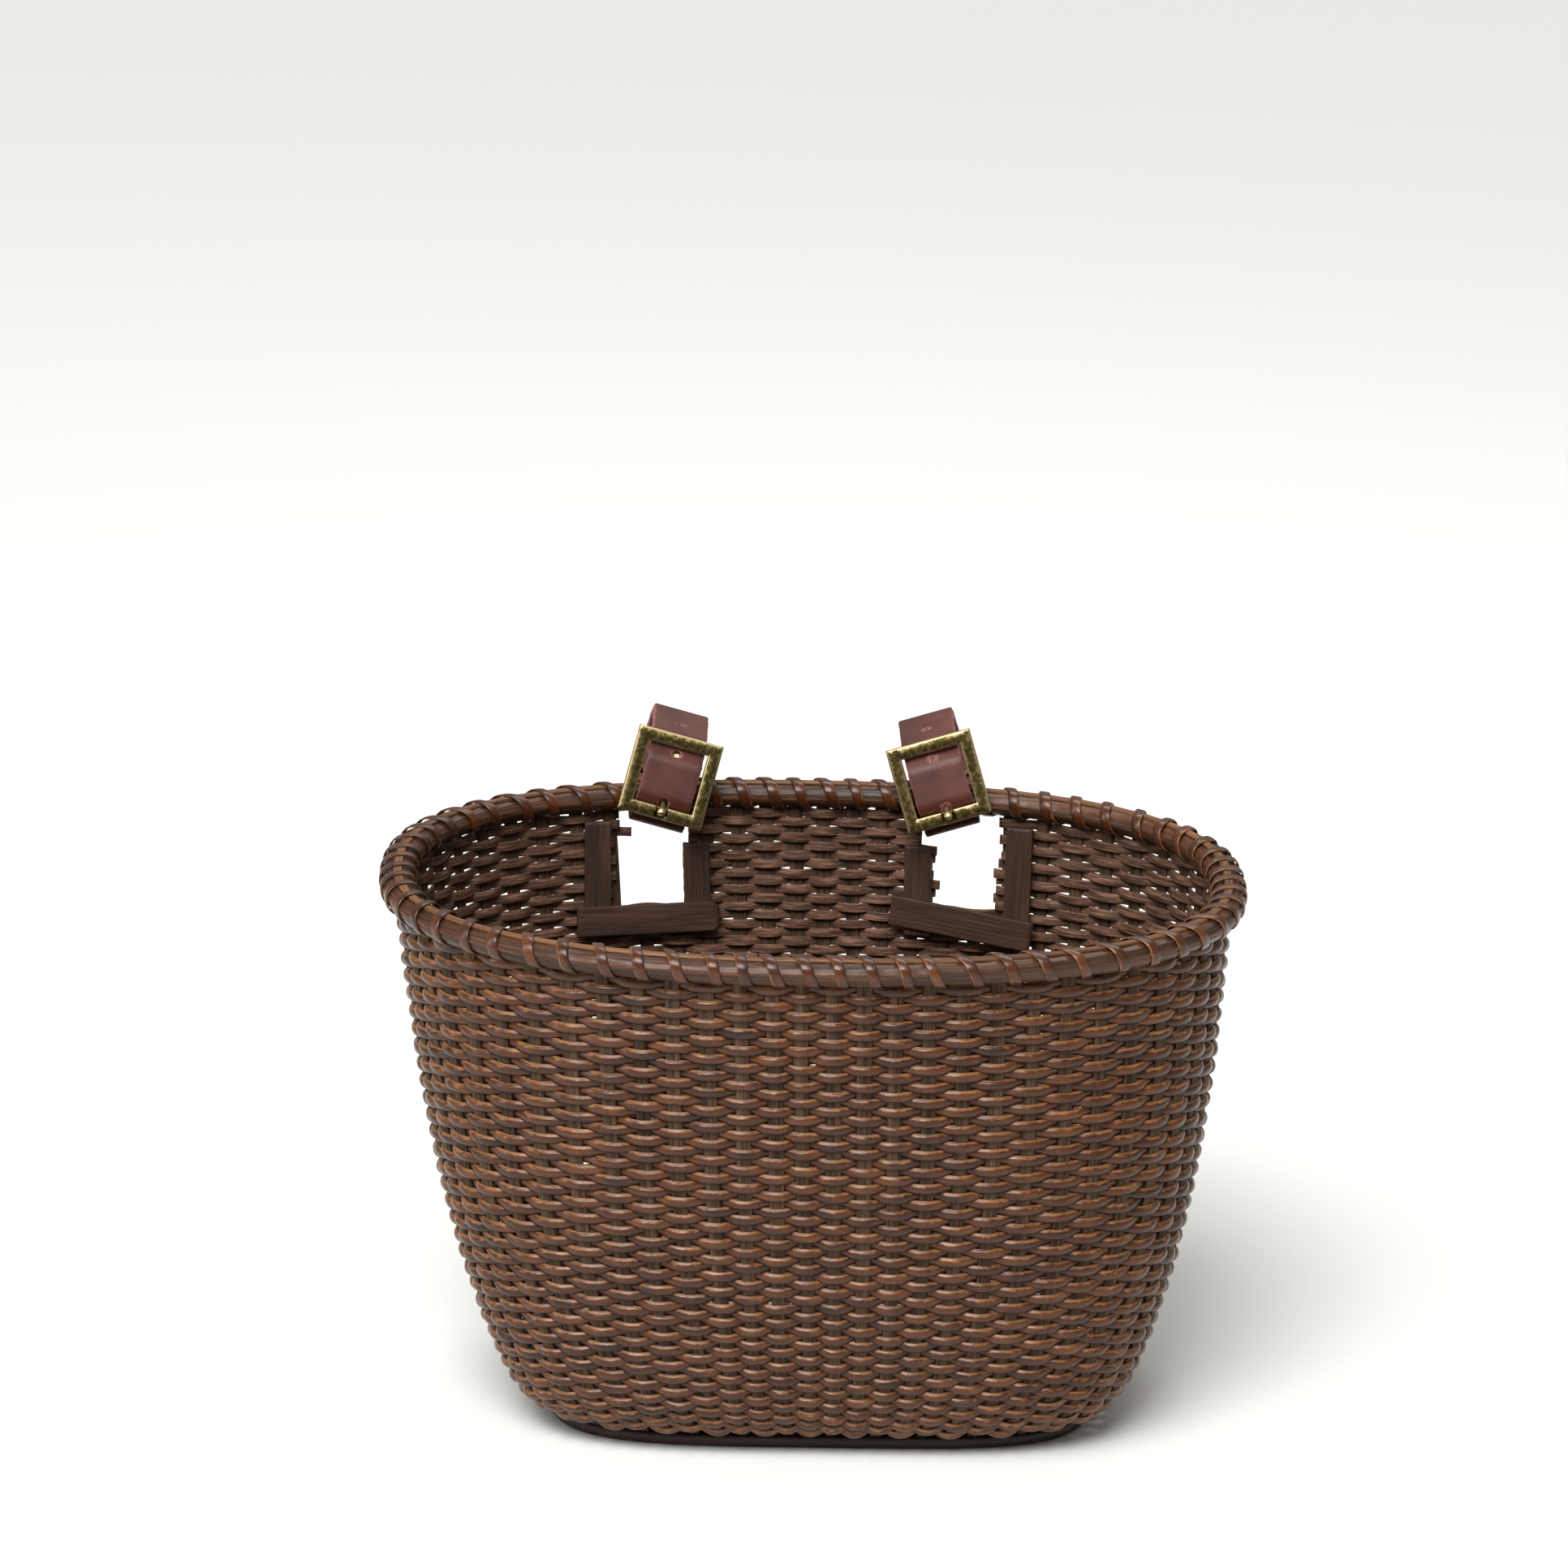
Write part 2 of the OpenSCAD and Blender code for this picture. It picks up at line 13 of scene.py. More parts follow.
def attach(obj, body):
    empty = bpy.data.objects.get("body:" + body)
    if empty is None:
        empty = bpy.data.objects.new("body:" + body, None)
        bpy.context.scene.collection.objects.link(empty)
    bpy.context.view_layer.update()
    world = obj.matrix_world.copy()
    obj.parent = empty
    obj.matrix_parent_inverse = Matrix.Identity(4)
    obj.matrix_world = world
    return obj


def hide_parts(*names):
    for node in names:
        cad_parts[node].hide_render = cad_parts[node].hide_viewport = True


MM = 0.001
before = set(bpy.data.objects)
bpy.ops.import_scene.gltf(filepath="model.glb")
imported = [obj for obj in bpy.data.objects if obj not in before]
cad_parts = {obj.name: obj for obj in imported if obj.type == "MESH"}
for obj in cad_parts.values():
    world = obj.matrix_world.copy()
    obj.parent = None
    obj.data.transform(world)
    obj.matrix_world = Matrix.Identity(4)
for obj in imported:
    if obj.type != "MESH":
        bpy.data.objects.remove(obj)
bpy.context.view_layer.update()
rng = np.random.default_rng(11)

# ---- Sizes, in millimetres, as in the CAD source ----

RIM_Z = 219.0
WALL_Z0 = 9.4
WALL_W = 336.0
WALL_D = 231.0
FOOT_W = 234.0
FOOT_D = 146.0
WALL_T = 5.0
LEAN_X = 6.5
STAKES = 68
STAKE_W = 5.8
STAKE_T = 1.4
WEAVER_W = 4.1
WEAVER_T = 1.9
ROWS = 58
RIM_GAP = 2.0
CANE_W = 5.7
CANE_H = 9.2
CANE_Z = -0.4
FILLER_W = 3.7
FILLER_T = 1.1
LASH_W = 4.4
LASH_T = 0.7
WINDOW_X = 68.0
WINDOW_W = 31.0
WINDOW_DROP = 46.0
SILL_Z = RIM_Z - WINDOW_DROP
SLAT_W = 11.0
SLAT_T = 2.2
SLAT_OFF = (WINDOW_W + SLAT_W) / 2
WALL_BOW = 2.5
CROSS_L = 60.0
CROSS_H = 12.6
STRAP_X = 58.7
STRAP_SHIFT = 2.0
STRAP_W = 23.0
STRAP_T = 2.2
STRAP_LEAN = 16.2
STRAP_ROLL = 1.0
BAR_AT = np.array([28.2, 12.5])
BAR_R = 11.2
BUCKLE_AT = np.array([-12.1, 11.4])
BUCKLE_W = 36.0
BUCKLE_SIDE = 5.4
BUCKLE_T = 3.0
BUCKLE_LEAN = 17.5
HINGE_BACK = 3.6
HINGE_R = 1.5
HINGE_PLAY = 0.08
STRAP_PLAY = 0.15
BOARD_HALF_W = 110.0
BOARD_HALF_D = 65.0


# ---- Outline of the basket at any height ----


def half_sizes(z):
    """Half width, half depth and squareness of the weave's middle surface at height z."""
    t = np.clip((RIM_Z - z) / (RIM_Z - WALL_Z0), 0.0, 1.0)
    taper = 0.38 * t + 0.5 * t**3 + 0.12 * t**38
    half_w = (WALL_W - WALL_T - (WALL_W - FOOT_W) * taper) / 2
    half_d = (WALL_D - WALL_T - (WALL_D - FOOT_D) * taper) / 2
    return half_w, half_d, 2.4 + 1.6 * t**1.5


def outline(q, z):
    """The middle surface at polar angle q, in radians, and height z, as x and y."""
    a, b, n = half_sizes(z)
    r = (np.abs(np.cos(q) / a) ** n + np.abs(np.sin(q) / b) ** n) ** (-1 / n)
    lean = LEAN_X * np.maximum(0.0, (RIM_Z - z) / (RIM_Z - WALL_Z0))
    return r * np.cos(q) + lean, r * np.sin(q)


Q_FINE = np.linspace(0, 2 * np.pi, 1441)


def lengths_along(points):
    """Distance along a path at each of its points."""
    steps = np.linalg.norm(np.diff(points, axis=0), axis=1)
    return np.concatenate([[0.0], np.cumsum(steps)])


def distance_round(z):
    """Distance round the outline at height z, at each angle of Q_FINE."""
    return lengths_along(np.stack(outline(Q_FINE, z), -1))


def angle_at(u, z):
    """Polar angles at fractions u of the way round the outline at one height z."""
    s = distance_round(z)
    turns = np.floor(u)
    return np.interp((u - turns) * s[-1], s, Q_FINE) + 2 * np.pi * turns


def perimeter(z):
    return distance_round(z)[-1]


def wall_frames(u, z):
    """Points on the middle surface at fractions u and heights z, with the unit vectors
    along the wall, out of it and up it."""
    z = np.broadcast_to(z, np.shape(u)).astype(float)
    q = angle_at(u, float(z.mean()))
    step = 0.004
    x, y = outline(q, z)
    x0, y0 = outline(q - step, z)
    x1, y1 = outline(q + step, z)
    along = np.stack([x1 - x0, y1 - y0, np.zeros_like(x)], -1)
    along /= np.linalg.norm(along, axis=-1, keepdims=True)
    xa, ya = outline(q, z + 0.5)
    xb, yb = outline(q, z - 0.5)
    slope = (xa - xb) * along[..., 1] - (ya - yb) * along[..., 0]
    slope = np.clip(slope, -2.0, 2.0)
    size = np.hypot(1.0, slope)
    flat = np.stack([along[..., 1], -along[..., 0], np.zeros_like(x)], -1)
    rise = np.array([0.0, 0.0, 1.0])
    out = (flat - slope[..., None] * rise) / size[..., None]
    up = (slope[..., None] * flat + rise) / size[..., None]
    return np.stack([x, y, z], -1), along, out, up


def crowd(f):
    """The stakes stand closer in the middle of each side than at the shoulders between."""
    return f - 0.0044 * np.sin(8 * np.pi * f)


def back_y(x, z):
    a, b, n = half_sizes(z)
    return b * (1 - (abs(x) / a) ** n) ** (1 / n)


def fraction_at_x(x, z):
    """Fraction of the way round at which the back of the outline at height z has this x."""
    q = np.linspace(0, np.pi, 721)
    angle = np.interp(-x, -outline(q, z)[0], q)
    s = distance_round(z)
    return np.interp(angle, Q_FINE, s) / s[-1]


# ---- Meshes ----


class Strips:
    """Collects swept strips into one mesh. Each face corner keeps where it is along and
    across its strip, and the strip's own number; each vertex keeps how much skin it has."""

    def __init__(self):
        self.points = []
        self.faces = []
        self.grain = []
        self.skin = []
        self.count = 0

    def sweep(self, rings, along, across, skin, seed, closed=False):
        """Adds a strip through rings of points. A closed one has one more entry in along."""
        n, m = rings.shape[:2]
        steps = n if closed else n - 1
        i = np.arange(steps)[:, None]
        j = np.arange(m)[None, :]
        i2 = (i + 1) % n
        j2 = (j + 1) % m
        corners = [(i, j), (i, j2), (i2, j2), (i2, j)]
        quads = np.stack([a * m + b + 0 * i + 0 * j for a, b in corners], -1).reshape(-1, 4)
        ends = [(i, j), (i, j + 1), (i + 1, j + 1), (i + 1, j)]
        wide = np.append(across, across[0])
        number = np.full((steps, m), float(seed))
        coords = [np.stack([along[a] + 0 * b, wide[b] + 0 * a, number], -1) for a, b in ends]
        coords = np.stack(coords, 2).reshape(-1, 4, 3)
        centre = rings.mean(1)
        area = np.cross(rings[0] - centre[0], np.roll(rings[0], -1, 0) - centre[0]).sum(0)
        if area @ (centre[1] - centre[0]) < 0:
            quads = quads[:, ::-1]
            coords = coords[:, ::-1]
        self.points.append(rings.reshape(-1, 3))
        self.skin.append(np.broadcast_to(skin, (n, m)).reshape(-1))
        self.faces += (quads + self.count).tolist()
        self.grain.append(coords.reshape(-1, 3))
        self.count += n * m
        if not closed:
            forward = bool(area @ (centre[1] - centre[0]) >= 0)
            self._cap(rings[0], along[0], across, seed, self.count - n * m, forward)
            self._cap(rings[-1], along[-1], across, seed, self.count - m, not forward)

    def _cap(self, ring, along, across, seed, first, backwards):
        order = list(range(first, first + len(ring)))
        width = list(across)
        if backwards:
            order.reverse()
            width.reverse()
        self.faces.append(order)
        self.grain.append(np.array([[along, w, seed] for w in width]))

    def make(self, name, material, body, replaces):
        points = np.concatenate(self.points)
        grain = np.concatenate(self.grain)
        skin = np.concatenate(self.skin)
        return piece_from(name, points, self.faces, material, body, replaces, grain, skin)


def piece_from(name, points, faces, material, body, replaces, grain, skin=None):
    """Makes a mesh object from points in millimetres, and says what it rides on and replaces."""
    mesh = bpy.data.meshes.new(name)
    mesh.from_pydata((np.asarray(points) * MM).tolist(), [], faces)
    mesh.attributes.new("grain", "FLOAT_VECTOR", "CORNER")
    values = (grain * [MM, MM, 1.0]).astype(np.float32).ravel()
    mesh.attributes["grain"].data.foreach_set("vector", values)
    if skin is not None:
        mesh.attributes.new("skin", "FLOAT", "POINT")
        mesh.attributes["skin"].data.foreach_set("value", np.asarray(skin, np.float32))
    mesh.polygons.foreach_set("use_smooth", [True] * len(mesh.polygons))
    mesh.materials.append(material)
    obj = bpy.data.objects.new(name, mesh)
    bpy.context.scene.collection.objects.link(obj)
    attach(obj, body)
    if replaces:
        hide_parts(*replaces)
    return obj


def unit(v):
    return v / np.linalg.norm(v)


def smooth_noise(u, waves, size):
    """Smooth noise at fractions u of a loop, with no seam, of about the given size."""
    total = np.zeros_like(u, dtype=float)
    for k in waves:
        total += rng.normal() * np.cos(2 * np.pi * k * u + rng.uniform(0, 2 * np.pi))
    return size * total / math.sqrt(len(waves))


def between(k, values):
    """Values given at whole numbers, eased between them, for a loop of that many."""
    low = np.floor(k).astype(int)
    t = k - low
    t = t * t * (3 - 2 * t)
    n = len(values)
    return values[low % n] * (1 - t) + values[(low + 1) % n] * t


def superellipse(half_w, half_h, count, square):
    """Points round a rounded rectangle, anticlockwise from its right side."""
    a = np.arange(count) * 2 * np.pi / count
    c = np.cos(a)
    s = np.sin(a)
    x = half_w * np.sign(c) * np.abs(c) ** (2 / square)
    y = half_h * np.sign(s) * np.abs(s) ** (2 / square)
    return np.stack([x, y], -1)


def sides_of(line):
    """Unit vectors to the left of a plane path, at each of its points."""
    heading = np.gradient(line, axis=0)
    heading /= np.linalg.norm(heading, axis=1, keepdims=True)
    return np.stack([-heading[:, 1], heading[:, 0]], -1)


# ---- Materials ----


class Nodes:
    """Builds one node material."""

    def __init__(self, name):
        self.material = bpy.data.materials.new(name)
        self.material.use_nodes = True
        self.tree = self.material.node_tree
        self.shader = self.tree.nodes["Principled BSDF"]

    def link(self, value, socket):
        if isinstance(value, bpy.types.NodeSocket):
            self.tree.links.new(value, socket)
        else:
            socket.default_value = value

    def set(self, name, value):
        """Sets or links one of the shader's inputs."""
        self.link(value, self.shader.inputs[name])

    def node(self, kind, inputs):
        """A new node, with its inputs linked or set."""
        node = self.tree.nodes.new("ShaderNode" + kind)
        for name, value in inputs.items():
            self.link(value, node.inputs[name])
        return node

    def attribute(self, name):
        node = self.node("Attribute", {})
        node.attribute_name = name
        return node

    def strip_place(self):
        """Where a point is along and across its strip, and the strip's number."""
        return self.attribute("grain").outputs["Vector"]

    def skin(self):
        return self.attribute("skin").outputs["Fac"]

    def grain(self, along, across, seed):
        """The strip's own coordinates, each multiplied."""
        node = self.node("VectorMath", {0: self.strip_place(), 1: (along, across, seed)})
        node.operation = "MULTIPLY"
        return node.outputs[0]

    def place(self):
        return self.node("TexCoord", {}).outputs["Object"]

    def noise(self, vector, scale, detail, rough):
        inputs = {"Vector": vector, "Scale": scale, "Detail": detail, "Roughness": rough}
        return self.node("TexNoise", inputs).outputs["Fac"]

    def cells(self, vector, scale):
        return self.node("TexVoronoi", {"Vector": vector, "Scale": scale}).outputs["Distance"]

    def remap(self, value, low, high, to_low=0.0, to_high=1.0):
        inputs = {"Value": value, "From Min": low, "From Max": high}
        inputs.update({"To Min": to_low, "To Max": to_high})
        return self.node("MapRange", inputs).outputs["Result"]

    def math(self, operation, a, b):
        node = self.node("Math", {0: a, 1: b})
        node.operation = operation
        return node.outputs[0]

    def blend(self, a, b, share):
        """Two values added, the first by its share and the second by what is left."""
        first = self.math("MULTIPLY", a, share)
        return self.math("ADD", first, self.math("MULTIPLY", b, 1 - share))

    def mix(self, share, a, b):
        node = self.node("Mix", {"Factor": share})
        node.data_type = "RGBA"
        for value, socket in ((a, node.inputs[6]), (b, node.inputs[7])):
            self.link(value if isinstance(value, bpy.types.NodeSocket) else (*value, 1.0), socket)
        return node.outputs[2]

    def ramp(self, value, stops):
        node = self.node("ValToRGB", {"Fac": value})
        elements = node.color_ramp.elements
        while len(elements) < len(stops):
            elements.new(0.5)
        for element, (at, colour) in zip(elements, stops):
            element.position = at
            element.color = (*colour, 1.0)
        return node.outputs["Color"]

    def bump(self, height, distance, strength):
        """Adds a relief, with its depth in millimetres, over any that is already there."""
        inputs = {"Strength": strength, "Distance": distance * MM, "Height": height}
        node = self.node("Bump", inputs)
        normal = self.shader.inputs["Normal"]
        if normal.is_linked:
            self.link(normal.links[0].from_socket, node.inputs["Normal"])
        self.link(node.outputs["Normal"], normal)


def srgb(r, g, b):
    """Linear colour of a display colour given as 0 to 255."""
    return tuple(
        c / 12.92 if c <= 0.04045 else ((c + 0.055) / 1.055) ** 2.4
        for c in (r / 255, g / 255, b / 255)
    )


def cane_material(name, dark, middle, light, worn_and_lit, inside, gloss, coat, edge_from):
    """Cane with a glossy skin outside, paler along its upper edge from wear and a painted
    highlight, darker along its lower edge from painted shade, and bare matt fibres inside."""
    m = Nodes(name)
    patch = m.noise(m.grain(70, 200, 3.7), 1.0, 3.0, 0.6)
    tone = m.noise(m.grain(18, 0, 9.1), 1.0, 1.0, 0.5)
    both = m.blend(patch, tone, 0.55)
    skin_colour = m.ramp(both, [(0.34, dark), (0.5, middle), (0.68, light)])
    streaks = m.noise(m.grain(60, 2400, 2.3), 1.0, 2.0, 0.7)
    skin_colour = m.mix(m.remap(streaks, 0.4, 0.7, 0.0, 0.5), skin_colour, dark)
    split = m.node("SeparateXYZ", {0: m.strip_place()})
    across = m.math("MULTIPLY", split.outputs["Y"], 1 / MM)
    flecks = m.noise(m.grain(260, 700, 4.9), 1.0, 3.0, 0.7)
    reach = m.math("ADD", across, m.remap(flecks, 0.3, 0.7, -0.8, 0.8))
    # Paler along the upper edge: partly wear, partly a painted highlight where the light falls on
    # the top of the cane.
    skin_colour = m.mix(m.remap(reach, edge_from, edge_from + 0.9, 0.0, 0.75), skin_colour, worn_and_lit)
    # Darker along the lower edge: painted shade under the cane.
    under = m.remap(reach, -edge_from * 1.8, -edge_from * 0.4, 0.9, 0.0)
    skin_colour = m.mix(under, skin_colour, dark)
    fibres = m.noise(m.grain(90, 2300, 5.9), 1.0, 3.0, 0.7)
    deep = tuple(c * 0.4 for c in inside)
    pale = tuple(c * 2.6 for c in inside)
    bare = m.ramp(fibres, [(0.34, deep), (0.5, inside), (0.66, pale)])
    skin = m.skin()
    m.set("Base Color", m.mix(skin, bare, skin_colour))
    glossy = m.remap(patch, 0.35, 0.65, gloss + 0.16, gloss)
    matt = 0.62
    less_matt = m.math("MULTIPLY", skin, m.math("SUBTRACT", glossy, matt))
    m.set("Roughness", m.math("ADD", less_matt, matt))
    m.set("Specular IOR Level", 0.3)
    m.set("Coat Weight", m.math("MULTIPLY", skin, coat))
    m.set("Coat Roughness", 0.16)
    m.bump(fibres, 0.25, 0.6)
    m.bump(streaks, 0.12, 0.5)
    return m.material


def grain_material(name, dark, light, rough_low, rough_high, fine, height, coat=0.0):
    """Long-grained stained wood or reed, from a strip's own coordinates."""
    m = Nodes(name)
    fibres = m.noise(m.grain(40, fine, 3.3), 1.0, 4.0, 0.7)
    broad = m.noise(m.grain(14, 260, 7.7), 1.0, 2.0, 0.5)
    both = m.blend(fibres, broad, 0.6)
    middle = tuple((a + b) / 2.6 for a, b in zip(dark, light))
    m.set("Base Color", m.ramp(both, [(0.36, dark), (0.5, middle), (0.66, light)]))
    m.set("Roughness", m.remap(both, 0.35, 0.65, rough_high, rough_low))
    m.set("Specular IOR Level", 0.22)
    m.set("Coat Weight", coat)
    m.set("Coat Roughness", 0.25)
    m.bump(fibres, height, 0.8)
    return m.material


# The fourth colour is the pale upper edge, partly wear and partly painted highlight; the first
# colour also paints the shade along the lower edge.
weaver_cane = cane_material(
    "weaver_cane",
    *(srgb(32, 14, 5), srgb(74, 37, 15), srgb(106, 60, 27), srgb(156, 106, 62), srgb(90, 64, 50)),
    gloss=0.23,
    coat=0.22,
    edge_from=1.2,
)
# One edge of the lashing is paler, partly wear and partly painted highlight; the other edge is
# darkened as painted shade.
lashing_cane = cane_material(
    "lashing_cane",
    *(srgb(40, 18, 7), srgb(76, 38, 15), srgb(106, 60, 28), srgb(150, 102, 60), srgb(70, 46, 33)),
    gloss=0.2,
    coat=0.3,
    edge_from=1.5,
)
stake_reed = grain_material(
    "stake_reed", srgb(26, 17, 12), srgb(104, 78, 58), 0.6, 0.85, 1700, 0.3
)
rim_cane = grain_material(
    "rim_cane", srgb(20, 10, 6), srgb(104, 64, 38), 0.2, 0.5, 1700, 0.6, 0.3
)
filler_cane = grain_material(
    "filler_cane", srgb(56, 32, 17), srgb(150, 104, 66), 0.35, 0.6, 1700, 0.3, 0.1
)
slat_wood = grain_material(
    "slat_wood", srgb(46, 31, 25), srgb(88, 63, 51), 0.5, 0.7, 1100, 0.2
)
base_wood = grain_material(
    "base_wood", srgb(30, 17, 12), srgb(60, 38, 27), 0.35, 0.5, 900, 0.1, 0.15
)


def leather_material():
    m = Nodes("strap_leather")
    place = m.place()
    pebble = m.cells(place, 1700.0)
    mottle = m.noise(place, 60.0, 3.0, 0.5)
    face = m.ramp(
        mottle, [(0.3, srgb(68, 31, 25)), (0.5, srgb(82, 40, 32)), (0.7, srgb(95, 50, 41))]
    )
    fluff = m.noise(place, 1500.0, 5.0, 0.8)
    edge = m.ramp(
        fluff, [(0.38, srgb(50, 22, 22)), (0.5, srgb(136, 84, 80)), (0.66, srgb(190, 142, 134))]
    )
    skin = m.skin()
    m.set("Base Color", m.mix(skin, edge, face))
    m.set("Roughness", m.remap(skin, 0.0, 1.0, 0.9, 0.46))
    m.set("Specular IOR Level", 0.4)
    m.bump(pebble, 0.1, 0.35)
    m.bump(fluff, 0.3, 0.3)
    return m.material


def brass_material(name, dark, middle, light, bright):
    """Antique brass: mottled and dull on its faces, bright where skin is 0 at its edges, from
    rubbing and as a painted highlight.
    """
    m = Nodes(name)
    place = m.place()
    mottle = m.noise(place, 520.0, 5.0, 0.7)
    broad = m.noise(place, 110.0, 2.0, 0.5)
    both = m.blend(mottle, broad, 0.65)
    face = m.ramp(both, [(0.36, dark), (0.5, middle), (0.64, light)])
    skin = m.skin()
    # Low skin is brightened: rubbed brass, and a painted highlight along the bevels.
    rub_and_glint = m.remap(m.math("ADD", skin, m.remap(mottle, 0.3, 0.7, 0.3, -0.3)), 0.25, 0.9)
    m.set("Base Color", m.mix(rub_and_glint, bright, face))
    m.set("Metallic", 1.0)
    m.set("Roughness", m.remap(both, 0.35, 0.65, 0.5, 0.3))
    m.bump(mottle, 0.03, 0.4)
    return m.material


strap_leather = leather_material()
buckle_brass = brass_material(
    "buckle_brass", srgb(50, 42, 21), srgb(76, 65, 36), srgb(104, 90, 54), srgb(200, 180, 132)
)
prong_brass = brass_material(
    "prong_brass", srgb(120, 102, 60), srgb(176, 156, 104), srgb(206, 188, 138), srgb(230, 212, 160)
)

# ---- Stakes ----

STAKE_F = crowd((np.arange(STAKES) + 0.5) / STAKES)
STAKE_SWAY = rng.normal(0, 0.5, STAKES)
STAKE_LEAN = rng.normal(0, 0.5, STAKES)
STAKE_PHASE = rng.uniform(0, 2 * np.pi, STAKES)


def stake_fractions(z):
    """Fractions of the way round at which the stakes cross height z."""
    fade_over = 40.0
    high = (z - 110.0) / 100.0
    fade = np.clip((RIM_Z - z) / fade_over, 0, 1) * np.clip((z - WALL_Z0) / fade_over, 0, 1)
    sway = STAKE_SWAY * np.sin(2.2 * high + STAKE_PHASE) + STAKE_LEAN * high
    return STAKE_F + fade * sway / perimeter(z)


def in_window(x, z):
    return z > SILL_Z and abs(abs(x) - WINDOW_X) < WINDOW_W / 2


def build_stakes():
    strips = Strips()
    levels = np.concatenate(
        [np.linspace(RIM_Z + 3.0, 30.0, 44), np.linspace(26.0, WALL_Z0 + 1.2, 9)]
    )
    fractions = np.array([stake_fractions(z) for z in levels])
    ridges = 7
    tuck_in = 7.0
    tuck_down = 4.1
    for i in range(STAKES):
        x, y = outline(angle_at(fractions[:1, i], RIM_Z), RIM_Z)
        cut = y[0] > 0 and in_window(x[0], RIM_Z)
        rows = [k for k, z in enumerate(levels) if not cut or z < SILL_Z - 1.5]
        width = STAKE_W * (1 + rng.normal(0, 0.03))
        rough = rng.normal(0, 0.09, (2, ridges))
        profile = []
        for face in (1, -1):
            across = np.linspace(-0.5, 0.5, ridges) * face
            for c, r in zip(across, rough[0 if face > 0 else 1]):
                rounding = STAKE_T * 0.32 if abs(c) > 0.49 else 0.0
                profile.append((face * (STAKE_T / 2 + r - rounding), c * width))
        profile = np.array(profile)
        rings = []
        for k in rows:
            z = levels[k]
            p, along, out, up = wall_frames(fractions[k : k + 1, i], z)
            thin = 0.86 + 0.14 * min(1.0, max(0.0, (z - 20) / 120))
            side = profile[:, 1] * thin
            rings.append(p[0] + profile[:, :1] * out[0] + side[:, None] * along[0])
        foot = rings[-1].mean(0)
        p, along, out, up = wall_frames(fractions[rows[-1] : rows[-1] + 1, i], WALL_Z0)
        flat = unit(out[0] * [1, 1, 0])
        tuck = foot - flat * tuck_in - np.array([0, 0, tuck_down])
        side = profile[:, 1] * 0.84
        rings.append(tuck + profile[:, :1] * [0, 0, 1.0] + side[:, None] * along[0])
        rings = np.array(rings)
        length = lengths_along(rings.mean(1)) + rng.uniform(0, 500)
        strips.sweep(rings, length, profile[:, 1], 0.0, i * 1.37)
    strips.make("reed_stakes", stake_reed, "basket", ["stakes"])


# ---- Weavers ----

SAMPLES = 8
BANDS = 10
STRAP_ROOM = 20.0
# Added to a row end's random reach into a window: right outer and inner, left inner and outer.
WINDOW_JAG = np.array([2.6, 0.0, -3.0, 1.6])
# The reach at both inner sides just under the rim, where the straps pass.
JAG_BY_STRAP = (-5.0, -2.5)
LONG_END_ROW = ROWS - 3
LONG_END = 9.5


def row_heights():
    """Heights of the rows: evenly pitched up the wall, closer together near the foot."""
    z = np.linspace(WALL_Z0 + 1.4, RIM_Z - 8.0, 2000)
    slope = np.gradient(half_sizes(z)[1], z)
    tight = 1 + 0.1 * np.clip((70 - z) / 60, 0, 1)
    s = np.concatenate([[0.0], np.cumsum(np.hypot(1, slope[1:]) * np.diff(z) * tight[1:])])
    return np.interp(np.linspace(0, s[-1], ROWS), s, z)


# Distance across the cane at each point of its section, from the middle of the round side.
WEAVER_ACROSS = np.concatenate([np.linspace(-2.6, 2.6, 8), [3.2, 3.8, 5.2, 5.8]])


def weaver_profile():
    """The half-round section: out and up, with how much skin each point has."""
    arc = np.radians(np.linspace(-90, 90, 8))
    back = -0.45
    out = WEAVER_T * (np.maximum(np.cos(arc), 0.0) ** 0.75 * 0.95 + back)
    up = WEAVER_W / 2 * np.sin(arc)
    flat_up = np.array([1.02, 0.8, -0.8, -1.02]) * WEAVER_W / 2
    flat_out = np.array([back, -0.53, -0.53, back]) * WEAVER_T
    skin = np.concatenate([[0.15], np.ones(6), [0.15], np.zeros(4)])
    return np.concatenate([out, flat_out]), np.concatenate([up, flat_up]), skin


